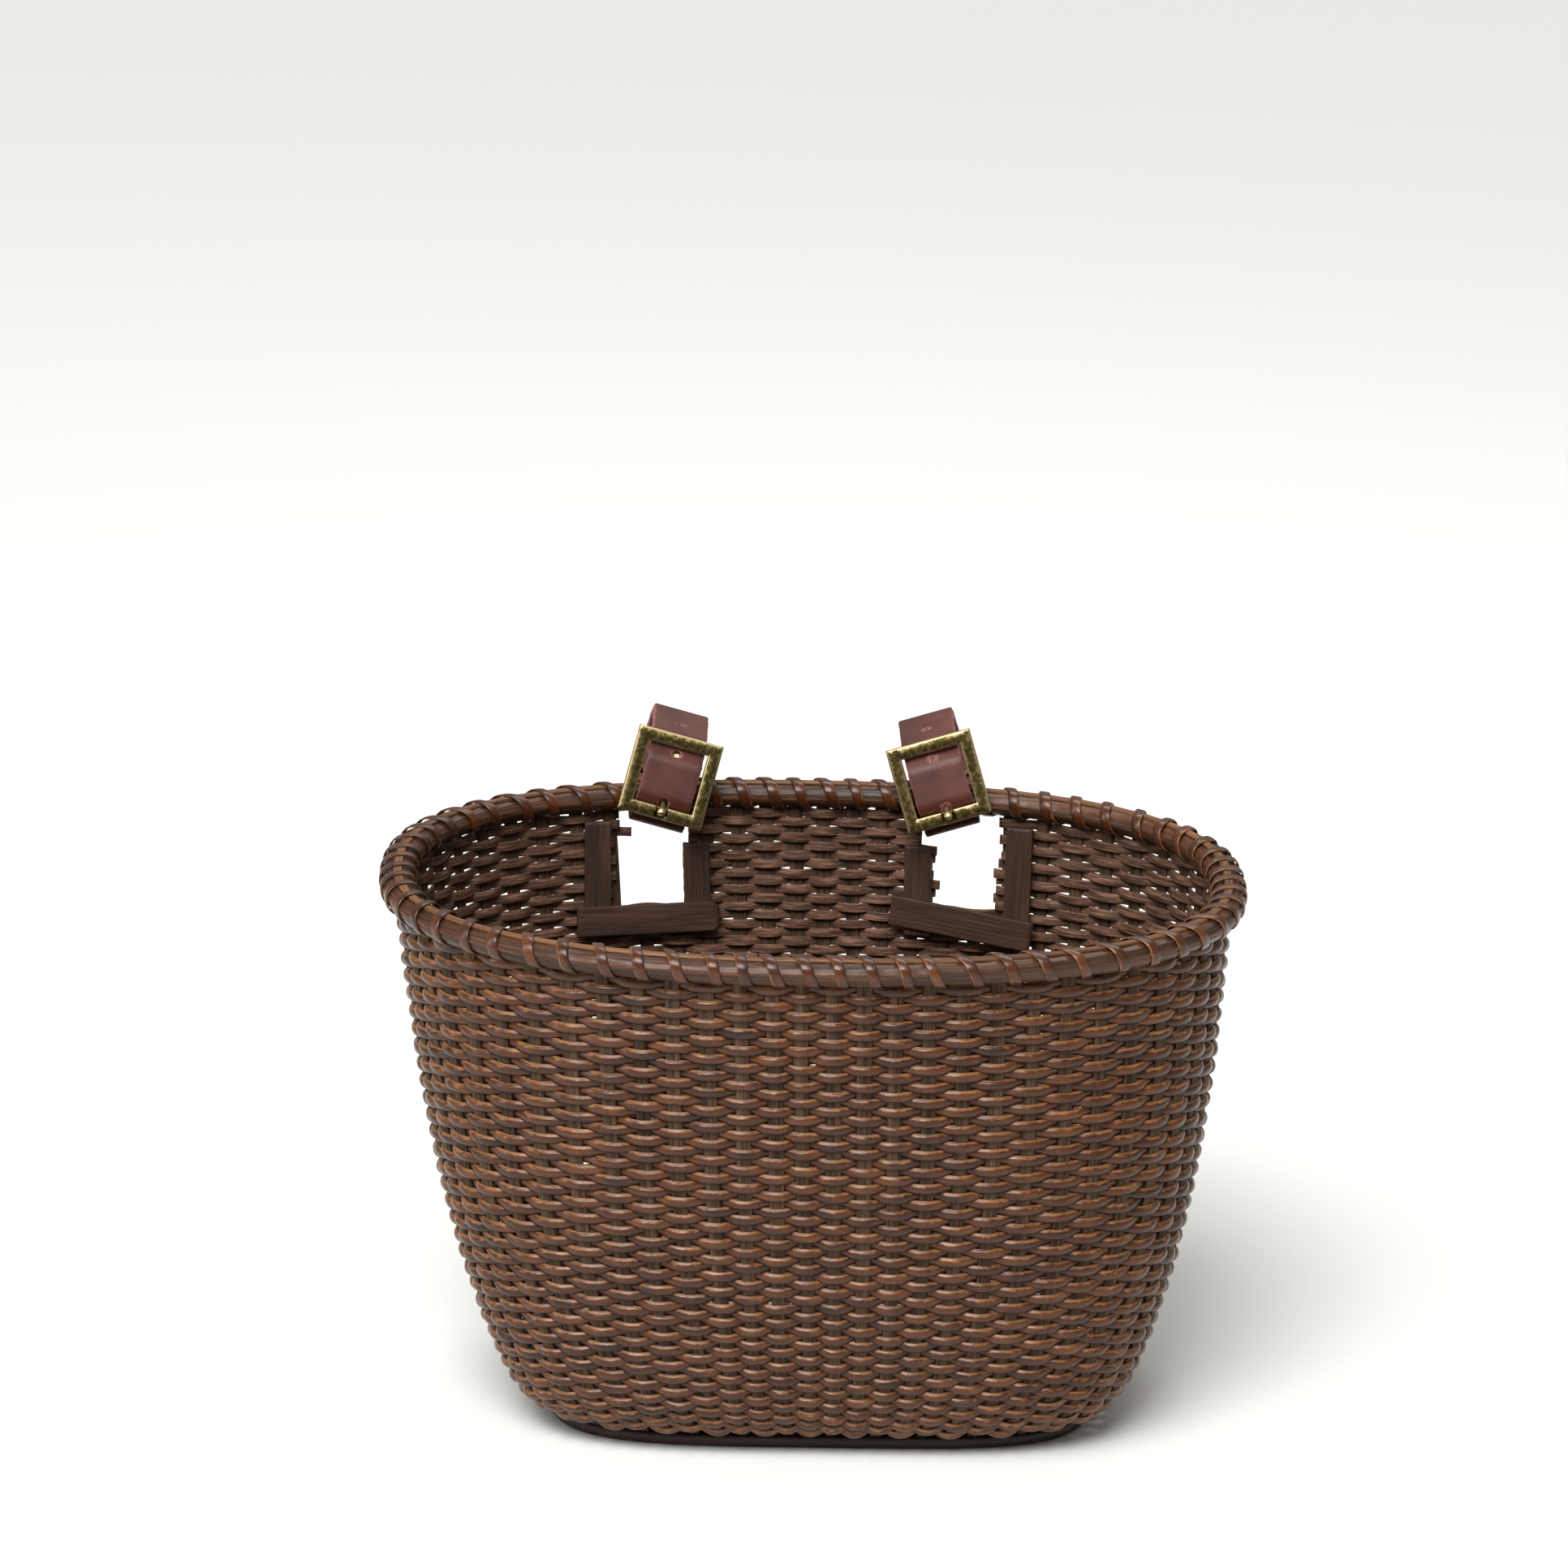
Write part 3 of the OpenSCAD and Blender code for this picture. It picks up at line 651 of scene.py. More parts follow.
def add_weaver(strips, row, z, spans):
    """One row, in one closed loop or over the given spans, counted in stakes."""
    out_p, up_p, skin = weaver_profile()
    fractions = stake_fractions(z)
    turns = np.concatenate([fractions - 1, fractions, fractions + 1, fractions + 2])
    numbers = np.arange(-STAKES, 3 * STAKES)
    bulge = rng.normal(1.0, 0.07, STAKES)
    drop = rng.normal(0, 0.14, STAKES)
    roll = rng.normal(0, 5.0, STAKES)
    width = 1 + rng.normal(0, 0.02) + rng.normal(0, 0.035, STAKES)
    wave = rng.uniform(0, 2 * np.pi, 2)
    start = rng.uniform(0, 900)
    for first, last in spans:
        closed = last - first == STAKES
        count = int(round((last - first) * SAMPLES))
        k = first + np.arange(count + (0 if closed else 1)) * (last - first) / count
        u = np.interp(k, numbers, turns)
        c = np.cos(np.pi * (k + row))
        swing = np.sign(c) * np.abs(c) ** 0.78 * between(k, bulge)
        offset = 0.96 * (STAKE_T + WEAVER_T) / 2 * swing
        high = between(k, drop) + 0.22 * np.cos(2 * np.pi * 3 * u + wave[0])
        high += 0.15 * np.cos(2 * np.pi * 7 * u + wave[1])
        p, along, out, up = wall_frames(u, z)
        tilt = np.radians(between(k, roll))[:, None]
        size = between(k, width)[:, None] * (0.99 + 0.01 * np.abs(c[:, None]) ** 0.6)
        a = out_p[None] * np.cos(tilt) - up_p[None] * size * np.sin(tilt)
        b = out_p[None] * np.sin(tilt) + up_p[None] * size * np.cos(tilt)
        rings = p[:, None] + (offset[:, None] + a)[..., None] * out[:, None]
        rings = rings + (high[:, None] + b)[..., None] * up[:, None]
        middle = rings.mean(1)
        length = lengths_along(np.concatenate([middle, middle[:1]]) if closed else middle)
        strips.sweep(rings, length + start, WEAVER_ACROSS, skin, row * 2.13 + 0.7, closed)


def stake_number(u, z):
    """The fractional stake number at fraction u of the way round."""
    f = stake_fractions(z)
    return np.interp(u, np.concatenate([f[-1:] - 1, f, f[:1] + 1]), np.arange(-1, STAKES + 1))


def build_weavers():
    heights = row_heights()
    per_band = math.ceil(ROWS / BANDS)
    half = WINDOW_W / 2
    for band in range(BANDS):
        strips = Strips()
        for row in range(band * per_band, min(ROWS, (band + 1) * per_band)):
            z = heights[row]
            if z < SILL_Z - 1.0:
                spans = [(0, STAKES)]
            else:
                jag = rng.uniform(-0.4, 3.2, 4) + WINDOW_JAG
                if row == LONG_END_ROW:
                    jag[3] = LONG_END
                if z > RIM_Z - STRAP_ROOM:
                    jag[1:3] = JAG_BY_STRAP
                cuts = [
                    WINDOW_X + half - jag[0],
                    WINDOW_X - half + jag[1],
                    -(WINDOW_X - half + jag[2]),
                    -(WINDOW_X + half - jag[3]),
                ]
                k = [float(stake_number(fraction_at_x(x, z), z)) for x in cuts]
                spans = [(k[1], k[2]), (k[3], k[0] + STAKES)]
            add_weaver(strips, row, z, spans)
        replaces = ["woven_wall"] if band == 0 else []
        name = f"cane_weavers_{band + 1:02d}"
        strips.make(name, weaver_cane, "basket", replaces)


build_stakes()
build_weavers()

# ---- Rim ----

RIM_STEPS = STAKES * 10


def rim_frames(k):
    """Rim centreline at stake numbers k: fractions and points, with the level way out and up."""
    u = crowd((k + 0.5) / STAKES)
    p, along = wall_frames(u, RIM_Z)[:2]
    out = np.stack([along[:, 1], -along[:, 0], np.zeros(len(u))], -1)
    return u, p, out, np.broadcast_to([0.0, 0.0, 1.0], out.shape)


def rim_strip(name, profile, material, node, rough, seed):
    """A cane round the rim, with long ridges that come and go along it."""
    k = np.arange(RIM_STEPS) / RIM_STEPS * STAKES
    u, p, out, up = rim_frames(k)
    m = len(profile)
    middle = profile.mean(0)
    spread = profile - middle
    reach = np.linalg.norm(spread, axis=1)
    ridge = np.stack([smooth_noise(u, [3, 7, 16, 31], rough) for _ in range(m)], 1)
    ridge += rng.normal(0, rough, m)[None]
    pinch = 0.12 * np.cos(2 * np.pi * (k + 0.5))
    grow = 1 + (ridge - pinch[:, None]) / reach[None]
    section = middle + spread[None] * grow[..., None]
    rings = p[:, None] + section[..., :1] * out[:, None] + section[..., 1:] * up[:, None]
    length = np.arange(RIM_STEPS + 1) / RIM_STEPS * perimeter(RIM_Z)
    strips = Strips()
    strips.sweep(rings, length, lengths_along(profile), 1.0, seed, True)
    strips.make(name, material, "basket", [node])


def half_round(side, count=21):
    q = np.radians(np.linspace(90, -90, count))
    out = RIM_GAP / 2 + CANE_W * np.cos(q) ** 0.9
    up = CANE_Z + CANE_H / 2 * np.sin(q)
    return np.stack([side * out, up], -1)


def filler_profile():
    """The thin strip that bridges the two half-round canes, on their upper edges."""
    left = np.array([[-0.5, -0.35], [-0.5, 0.45], [-0.38, 0.92], [-0.13, 1.0]])
    whole = np.concatenate([left[:1], left * [-1, 1], left[:0:-1]])
    return whole * [FILLER_W, FILLER_T] + [0.0, CANE_Z + CANE_H / 2]


filler = filler_profile()
rim_strip("outer_rim_cane", half_round(1), rim_cane, "rim_outer_cane", 0.15, 3.0)
rim_strip("inner_rim_cane", half_round(-1), rim_cane, "rim_inner_cane", 0.15, 8.0)
rim_strip("filler_rim_cane", filler, filler_cane, "rim_filler_cane", 0.05, 5.0)


def build_lashing():
    """One flat strip wound round the rim, passing under it in each space between stakes."""
    steps = 26
    k = np.arange(STAKES * steps) / steps
    early = rng.normal(0, 0.09, STAKES)
    late = rng.normal(0, 0.05, STAKES)
    turn = 2 * np.pi * (k - np.floor(k))
    slide = between(k, early) * np.sin(turn / 2) ** 2 + between(k, late)
    p, out, up = rim_frames(k - 0.5 + slide)[1:]
    angle = -np.pi / 2 - turn
    half_w = RIM_GAP / 2 + CANE_W + 0.12
    half_h = CANE_H / 2 + 0.75
    square = 2.5

    def section_point(angle):
        c = np.cos(angle)
        s = np.sin(angle)
        r = (np.abs(c / half_w) ** square + np.abs(s / half_h) ** square) ** (-1 / square)
        return np.stack([r * c, r * s], -1)

    small = 0.01
    flat = section_point(angle)
    going = section_point(angle - small) - flat
    going /= np.linalg.norm(going, axis=1, keepdims=True)
    lift = np.stack([-going[:, 1], going[:, 0]], -1)
    lift *= np.sign((lift * flat).sum(1, keepdims=True))
    width = LASH_W * (1 + between(k, rng.normal(0, 0.06, STAKES)))
    across = np.array([-0.5, 0.5, 0.5, 0.36, 0.0, -0.36, -0.5])
    raised = np.array([0.0, 0.0, 0.55, 0.95, 1.08, 0.95, 0.55])
    centre = p + flat[:, :1] * out + (flat[:, 1:] + CANE_Z + 0.45) * up
    travel = np.roll(centre, -1, 0) - centre
    travel /= np.linalg.norm(travel, axis=1, keepdims=True)
    normal = lift[:, :1] * out + lift[:, 1:] * up
    side = np.cross(travel, normal)
    side /= np.linalg.norm(side, axis=1, keepdims=True)
    rings = [
        centre + side * (a * width)[:, None] + normal * (b * LASH_T)
        for a, b in zip(across, raised)
    ]
    length = lengths_along(np.concatenate([centre, centre[:1]]))
    skin = [0.4, 0.4, 0.8, 1.0, 1.0, 1.0, 0.8]
    where = np.array([-2.0, 2.0, 2.1, 1.4, 0.0, -1.4, -2.1])
    strips = Strips()
    strips.sweep(np.stack(rings, 1), length, where, skin, 4.4, True)
    strips.make("rim_lashing_strip", lashing_cane, "basket", ["rim_lashing"])


build_lashing()

# ---- Base board ----


def board_outline(inset, q):
    a = BOARD_HALF_W - inset
    b = BOARD_HALF_D - inset
    r = (np.abs(np.cos(q) / a) ** 4 + np.abs(np.sin(q) / b) ** 4) ** -0.25
    return np.stack([r * np.cos(q) + LEAN_X, r * np.sin(q)], -1)


def build_base():
    """The board: a rounded lip, the groove for the stakes, and gently eased faces."""
    q = np.linspace(0, 2 * np.pi, 193)[:-1]
    profile = [
        (3.0, 0.0), (1.2, 0.25), (0.35, 1.0), (0.0, 2.2), (0.0, 4.6), (0.5, 5.3), (6.0, 5.5),
        (6.0, 7.5), (0.5, 7.6), (0.1, 8.1), (0.5, 8.75), (1.6, 9.0),
    ]  # fmt: skip
    rings = np.array(
        [np.concatenate([board_outline(i, q), np.full((len(q), 1), z)], 1) for i, z in profile]
    )
    inner = np.linspace(0.9, 0.1, 5)
    top = [rings[-1] * [f, f, 1] for f in inner]
    layers = [rings[0] * [f, f, 1] for f in inner[::-1]] + list(rings) + top
    points = np.concatenate(layers)
    m = len(q)
    faces = []
    for i in range(len(layers) - 1):
        for j in range(m):
            j2 = (j + 1) % m
            faces.append([i * m + j, i * m + j2, (i + 1) * m + j2, (i + 1) * m + j])
    faces.append(list(range(m))[::-1])
    faces.append([(len(layers) - 1) * m + j for j in range(m)])
    corners = np.concatenate([points[f] for f in faces])
    grain = np.stack([corners[:, 0], corners[:, 1] + corners[:, 2], 0 * corners[:, 0]], -1)
    node = ["base_board"]
    piece_from("wooden_base", points, faces, base_wood, "basket", node, grain)


build_base()

# ---- Window frames ----


def rotation(axis, degrees):
    return np.array(Matrix.Rotation(math.radians(degrees), 3, axis))


def window_place(points, side):
    """Moves points from a window frame's own axes to the basket's."""
    z = RIM_Z - WINDOW_DROP / 2
    y = back_y(WINDOW_X, z)
    turn = math.degrees(math.atan(back_y(side * WINDOW_X + 1, z) - y))
    lean = math.degrees(math.atan((back_y(WINDOW_X, z + 20) - back_y(WINDOW_X, z - 20)) / 40))
    r = rotation("Z", turn) @ rotation("X", -lean)
    local = points + [0, -WALL_T / 2 - WALL_BOW - SLAT_T, -WINDOW_DROP / 2]
    return local @ r.T + [side * WINDOW_X, y, z]


def wooden_strip(name, side, node, size, place, slant, end_radius=0.0):
    """A flat strip of wood along its own X, with eased edges. size is length, width and
    thickness; place is its middle, and slant turns it in the frame's plane. end_radius
    rounds its right end."""
    length, width, thick = size
    n = 31
    t = np.linspace(-0.5, 0.5, n)
    edge = 0.3
    corner = [(0.0, edge), (edge, 0.0), (2.5 * edge, -0.02)]
    front = [(inset - width / 2, y) for inset, y in corner]
    front += [(width / 2 - inset, y) for inset, y in corner[::-1]]
    profile = np.array(front + [(-x, thick - max(y, 0.0)) for x, y in front])
    ragged = rng.normal(0, 0.06, (n, 2))
    rings = []
    for i, s in enumerate(t):
        x = s * length
        near = max(0.0, end_radius - (length / 2 - x))
        fall = end_radius - math.sqrt(max(0.0, end_radius**2 - near**2))
        squeeze = 1 - 2 * fall / width
        across = profile[:, 0] * squeeze
        across = across + np.where(across > 0, ragged[i, 0], ragged[i, 1])
        rings.append(np.stack([np.full(len(profile), x), profile[:, 1], across], -1))
    rings = np.array(rings)
    flat = rings.reshape(-1, 3) @ rotation("Y", slant).T + place
    rings = window_place(flat, side).reshape(rings.shape)
    strips = Strips()
    around = profile[:, 0] + np.where(profile[:, 1] > thick / 2, 40.0, 0.0)
    seed = rng.uniform(0, 50)
    strips.sweep(rings, t * length + rng.uniform(0, 400), around, 1.0, seed)
    strips.make(name, slat_wood, "basket", [node])


OUTER_TOP = WINDOW_DROP - 9
OUTER_BOTTOM = -4.6
INNER_TOP = WINDOW_DROP - 20
INNER_BOTTOM = OUTER_BOTTOM - 8

for side, word in ((-1, "left"), (1, "right")):
    for part, off, low, high, lean in (
        ("outer", side * SLAT_OFF, OUTER_BOTTOM, OUTER_TOP, 0.0),
        ("inner", -side * SLAT_OFF, INNER_BOTTOM, INNER_TOP, -1.5),
    ):
        name = f"{word}_{part}_slat"
        size = (high - low, SLAT_W, SLAT_T)
        middle = (off, 0.0, (low + high) / 2)
        wooden_strip(name, side, f"{word}_window_{part}_slat", size, middle, 90.0 + lean)
    name = f"{word}_crosspiece"
    off, slant, end_radius = (0.0, 0.0, 2.6) if side < 0 else (-2.0, 7.0, 0.0)
    size = (CROSS_L, CROSS_H, SLAT_T)
    middle = (off, -SLAT_T, 1 - CROSS_H / 2)
    wooden_strip(name, side, f"{word}_window_crosspiece", size, middle, slant, end_radius)

# ---- Straps: their path in the strap's own plane, x back and y up ----

BUCKLE_TILT = math.radians(BUCKLE_LEAN)
ARC_STEP = 0.12


def buckle_pt(u, v):
    """A point u up along the buckle's face and v out of it, in the strap's plane."""
    s = math.sin(BUCKLE_TILT)
    c = math.cos(BUCKLE_TILT)
    return BUCKLE_AT + [u * s - v * c, u * c + v * s]


def heading_to(p, c, r):
    d = c - p
    return math.atan2(d[1], d[0]) + math.asin(r / np.linalg.norm(d))


def heading_from(c, p, r):
    d = p - c
    return math.atan2(d[1], d[0]) - math.asin(r / np.linalg.norm(d))


def circle_pt(c, r, h):
    return c + r * np.array([-math.sin(h), math.cos(h)])


def turned(v, angle):
    """A vector of the strap's plane, turned from back towards up."""
    c = math.cos(angle)
    s = math.sin(angle)
    return np.array([v[0] * c - v[1] * s, v[0] * s + v[1] * c])


def bend(a, b, c, r):
    """Points of a round bend at corner b of the path a, b, c."""
    h0 = math.atan2(b[1] - a[1], b[0] - a[0])
    h1 = math.atan2(c[1] - b[1], c[0] - b[0])
    turn = (h1 - h0 + 3 * math.pi) % (2 * math.pi) - math.pi
    s = math.copysign(1, turn)
    centre = b - unit(b - a) * r * math.tan(abs(turn) / 2)
    centre = centre + r * s * np.array([-math.sin(h0), math.cos(h0)])
    steps = max(3, math.ceil(abs(turn) / ARC_STEP))
    return [circle_pt(centre, -r * s, h0 + turn * k / steps) for k in range(steps + 1)]


def wrap(c, r, h0, h1):
    """Points clockwise round a circle, from heading h0 to heading h1."""
    steps = math.ceil((h0 - h1) / ARC_STEP)
    return [circle_pt(c, r, h0 + (h1 - h0) * k / steps) for k in range(steps + 1)]


def strap_path():
    """The strap's centreline from its tail inside the fold to its free end."""
    skive = 1.5
    pitch = STRAP_T + STRAP_PLAY
    inner_r = BAR_R + STRAP_T / 2
    outer_r = inner_r + pitch
    fold_r = HINGE_R + HINGE_PLAY + skive / 2
    hinge = buckle_pt(0, -HINGE_BACK)
    fixed_low = buckle_pt(5.5, -4.3)
    fixed_top = buckle_pt(13.9, -6.5)
    fixed_dir = unit(fixed_top - fixed_low)
    tail_side = (skive + pitch) / 2 * np.array([fixed_dir[1], -fixed_dir[0]])
    tail_low = fixed_low + tail_side
    tail_end = fixed_low + 7.4 * fixed_dir + tail_side
    fold_in = heading_to(tail_low, hinge, fold_r)
    fold_out = heading_from(hinge, fixed_low, fold_r) - 2 * math.pi
    fixed_heading = heading_to(fixed_top, BAR_AT, inner_r)
    under_back = np.array([3.0, -11.7])
    under_front = np.array([-12.0, -10.0])
    under_heading = heading_from(BAR_AT, under_back, inner_r)
    low = buckle_pt(-16.4, -3.6)
    low_end = buckle_pt(-13.4, -3.6)
    crown_low = buckle_pt(-9.6, 0.8)
    crown_high = buckle_pt(6.5, 0.8)
    top_start = buckle_pt(12.4, -3.6)
    top = buckle_pt(15.6, -3.6)
    free_heading = heading_to(top, BAR_AT, outer_r)
    rows = []

    def add(points, thickness):
        rows.extend((p, thickness) for p in points)

    add([tail_end], skive)
    add(bend(tail_end, tail_low, circle_pt(hinge, fold_r, fold_in), 4), skive)
    add(wrap(hinge, fold_r, fold_in, fold_out), skive)
    add(bend(circle_pt(hinge, fold_r, fold_out), fixed_low, fixed_top, 3), STRAP_T)
    add(bend(fixed_low, fixed_top, circle_pt(BAR_AT, inner_r, fixed_heading), 3), STRAP_T)
    add(wrap(BAR_AT, inner_r, fixed_heading, under_heading), STRAP_T)
    add(bend(circle_pt(BAR_AT, inner_r, under_heading), under_back, under_front, 8), STRAP_T)
    add(bend(under_back, under_front, low, 4), STRAP_T)
    add(bend(under_front, low, low_end, 6), STRAP_T)
    add(bend(low, low_end, crown_low, 2.5), STRAP_T)
    add(bend(low_end, crown_low, crown_high, 5), STRAP_T)
    add(bend(crown_low, crown_high, top_start, 5), STRAP_T)
    add(bend(crown_high, top_start, top, 2.5), STRAP_T)
    add(bend(top_start, top, circle_pt(BAR_AT, outer_r, free_heading), 2.6), STRAP_T)
    add(wrap(BAR_AT, outer_r, free_heading, math.radians(-115)), STRAP_T)
    return rows


def strap_place(points, side):
    """Moves points (back, up, along the rim) from a strap's own axes to the basket's."""
    x = STRAP_X - side * STRAP_SHIFT
    y = back_y(x, RIM_Z)
    axes = rotation("Y", STRAP_LEAN + side * STRAP_ROLL)
    p = np.asarray(points, float)
    local = np.stack([p[..., 2], p[..., 0], p[..., 1]], -1)
    placed = local @ axes.T + [-x, y, RIM_Z]
    return placed * [-side, 1, 1] if side > 0 else placed


def buckle_place(points, side):
    """Moves points (out of the face, up it, across it) from the buckle's axes."""
    p = np.asarray(points, float)
    s = math.sin(BUCKLE_TILT)
    c = math.cos(BUCKLE_TILT)
    back = BUCKLE_AT[0] + p[..., 1] * s - p[..., 0] * c
    up = BUCKLE_AT[1] + p[..., 1] * c + p[..., 0] * s
    return strap_place(np.stack([back, up, p[..., 2]], -1), side)


def resample(rows, step):
    """Rows of a path at an even spacing, with their thickness."""
    points = np.array([p for p, _ in rows])
    keep = np.concatenate([[True], np.linalg.norm(np.diff(points, axis=0), axis=1) > 1e-6])
    points = points[keep]
    thick = np.array([t for _, t in rows])[keep]
    s = lengths_along(points)
    at = np.linspace(0, s[-1], int(s[-1] / step) + 1)
    line = np.stack([np.interp(at, s, points[:, 0]), np.interp(at, s, points[:, 1])], -1)
    return line, np.interp(at, s, thick), at


def boolean_cut(obj, cutter):
    """Cuts obj by cutter, which is then removed."""
    mod = obj.modifiers.new("cut", "BOOLEAN")
    mod.operation = "DIFFERENCE"
    mod.solver = "EXACT"
    mod.object = cutter
    bpy.context.view_layer.update()
    dg = bpy.context.evaluated_depsgraph_get()
    mesh = bpy.data.meshes.new_from_object(obj.evaluated_get(dg))
    obj.modifiers.clear()
    obj.data = mesh
    bpy.data.objects.remove(cutter)


def cutter_from(points_faces_list):
    """One object of all the cutting solids."""
    points = []
    faces = []
    count = 0
    for p, f in points_faces_list:
        points.append(p)
        faces += [[i + count for i in face] for face in f]
        count += len(p)
    mesh = bpy.data.meshes.new("cutter")
    mesh.from_pydata((np.concatenate(points) * MM).tolist(), [], faces)
    mesh.update()
    obj = bpy.data.objects.new("cutter", mesh)
    bpy.context.scene.collection.objects.link(obj)
    return obj


def punch(centre, axis, radius, depth, stretch=0.0, sides=20):
    """A round or slotted punch on the strap's middle line: centre and axis are (back, up)."""
    a = unit(np.array([axis[0], axis[1], 0.0]))
    b = np.array([-a[1], a[0], 0.0])
    w = np.array([0.0, 0.0, 1.0])
    c = np.array([centre[0], centre[1], 0.0])
    ring = []
    for k in range(sides):
        t = 2 * np.pi * (k + 0.5) / sides
        shift = math.copysign(stretch / 2, math.cos(t))
        ring.append(c + b * (radius * math.cos(t) + shift) + w * radius * math.sin(t))
    ring = np.array(ring)
    points = np.concatenate([ring - a * depth / 2, ring + a * depth / 2])
    faces = [list(range(sides))[::-1], list(range(sides, 2 * sides))]
    faces += [[k, (k + 1) % sides, sides + (k + 1) % sides, sides + k] for k in range(sides)]
    return points, faces


def build_strap(side, word):
    line, thick, at = resample(strap_path(), 0.8)
    normal = sides_of(line)
    half = STRAP_W / 2
    columns = np.array([0.25, 0.55, 0.8, 0.94, 0.985, 1])
    columns = np.concatenate([-columns[::-1], [0.0], columns])
    drop = np.array([0.35, 0.12] + [0.0] * 9 + [0.12, 0.35])
    fuzz = rng.normal(0, 0.09, (len(line), 2))
    rings = []
    for i in range(len(line)):
        wide = columns * half
        wide[0] += fuzz[i, 0]
        wide[-1] += fuzz[i, 1]
        top = line[i] + normal[i] * (thick[i] / 2 - drop)[:, None]
        low = line[i] - normal[i] * (thick[i] / 2 - drop)[:, None]
        face = np.concatenate([top, wide[:, None]], 1)
        back = np.concatenate([low, wide[:, None]], 1)[::-1]
        rings.append(np.concatenate([face, back]))
    rings = np.array(rings)
    skin_face = np.array([0.0, 0.6] + [1.0] * 9 + [0.6, 0.0])
    skin = np.concatenate([skin_face, skin_face * 0.75])
    strips = Strips()
    placed = strap_place(rings, side)
    around = np.concatenate([columns * half, columns[::-1] * half + 30])
    strips.sweep(placed, at, around, skin, 1.0)
    name = f"{word}_leather_strap"
    body = f"{word}_strap_loop"
    obj = strips.make(name, strap_leather, body, [f"{word}_strap"])
    face_dir = buckle_pt(0, 1) - buckle_pt(0, 0)
    lean_in = turned(face_dir, math.atan2(4.4, 3.8))
    outer_r = BAR_R + STRAP_T * 1.5 + STRAP_PLAY
    over = turned([1.0, 0.0], math.radians(28))
    hole_r = 1.6
    cuts = [
        punch(buckle_pt(-11.6, -1.5), lean_in, 1.9, 6.0, stretch=4.0),
        punch(buckle_pt(9.6, -1.4), face_dir + [0.0, 0.4], hole_r, 3.4),
        punch(BAR_AT + [-16.0, outer_r - 0.6], (0.0, 1.0), hole_r, 3.2),
        punch(BAR_AT + outer_r * over, over, hole_r, 3.2),
    ]
    boolean_cut(obj, cutter_from([(strap_place(p, side), f) for p, f in cuts]))


def square_loop(half, height, inner):
    """Points (out, up, across) round a square, with the prong's rest dipped into the lower
    side of the loops that lie on the frame's face."""
    rest_w = 2.6
    rest_depth = 1.6
    steps = 48
    points = []
    for corner in range(4):
        for k in range(steps):
            t = -1 + 2 * k / steps
            across, up = [(t, 1), (1, -t), (-t, -1), (-1, t)][corner]
            dip = 0.0
            if height > 0 and up * half < -inner + 0.1 and abs(across * half) < rest_w:
                dip = rest_depth * min(1.0, (rest_w - abs(across * half)) / 0.6)
            points.append((height - dip, up * half, across * half))
    return np.array(points)


def frame_loops(outer, inner, bevel):
    """The loops of a square frame with eased edges, and how little each one is brightened by
    rubbing and by a painted highlight.
    """
    t = BUCKLE_T / 2
    b = bevel
    # Low values mark the bright bevel crowns, which are partly rubbed and partly a painted
    # highlight.
    loops = [
        (outer - b, -t, 0.9),
        (outer, -t + b, 0.5),
        (outer, t - b * 1.4, 0.35),
        (outer - b * 0.8, t - b * 0.3, 0.1),
        (outer - b * 1.8, t, 0.75),
        ((outer + inner) / 2, t + 0.12, 1.0),
        (inner + b * 1.5, t, 0.8),
        (inner + b * 0.6, t - b * 0.3, 0.0),
        (inner, t - b * 1.2, 0.3),
        (inner, -t + b, 0.7),
        (inner + b, -t, 0.9),
    ]
    rings = np.array([square_loop(half, height, inner) for half, height, _ in loops])
    return rings, np.array([rub_and_glint for _, _, rub_and_glint in loops])


def build_buckle(side, word):
    """A bevelled square frame, its bar and the ears that carry it."""
    inner = BUCKLE_W / 2 - BUCKLE_SIDE
    rings, rubs_and_glints = frame_loops(BUCKLE_W / 2, inner, 0.55)
    strips = Strips()
    n, m = rings.shape[:2]
    skins = np.broadcast_to(rubs_and_glints, (m, n))
    placed = buckle_place(np.swapaxes(rings, 0, 1), side)
    strips.sweep(placed, np.arange(m + 1) * 3.0, np.arange(n) * 1.0, skins, 0.0, True)
    turn = np.linspace(0, 2 * np.pi, 21)[:-1]
    across = np.linspace(-inner - 1.6, inner + 1.6, 9)
    round_bar = HINGE_R * np.stack([np.cos(turn), np.sin(turn)], -1) - [HINGE_BACK, 0.0]
    bar = [np.concatenate([round_bar, np.full((20, 1), z)], 1) for z in across]
    strips.sweep(buckle_place(np.array(bar), side), across, turn, 0.7, 1.0)
    ear_half = 2.75
    ear_outline = superellipse(ear_half, 1.9, 20, 4.0) + [0.85 - HINGE_BACK, 0.0]
    for end in (-1, 1):
        ear = []
        for size, off in ((0.9, 0.1), (1.0, 0.4), (1.0, 1.9), (0.9, 2.2)):
            loop = ear_outline * size - [ear_half * (1 - size), 0.0]
            ear.append(np.concatenate([loop, np.full((20, 1), end * (inner + off))], 1))
        strips.sweep(buckle_place(np.array(ear), side), np.arange(4.0), np.arange(20.0), 0.6, 2.0)
    name = f"{word}_brass_buckle"
    body = f"{word}_buckle"
    strips.make(name, buckle_brass, body, [f"{word}_buckle_frame"])


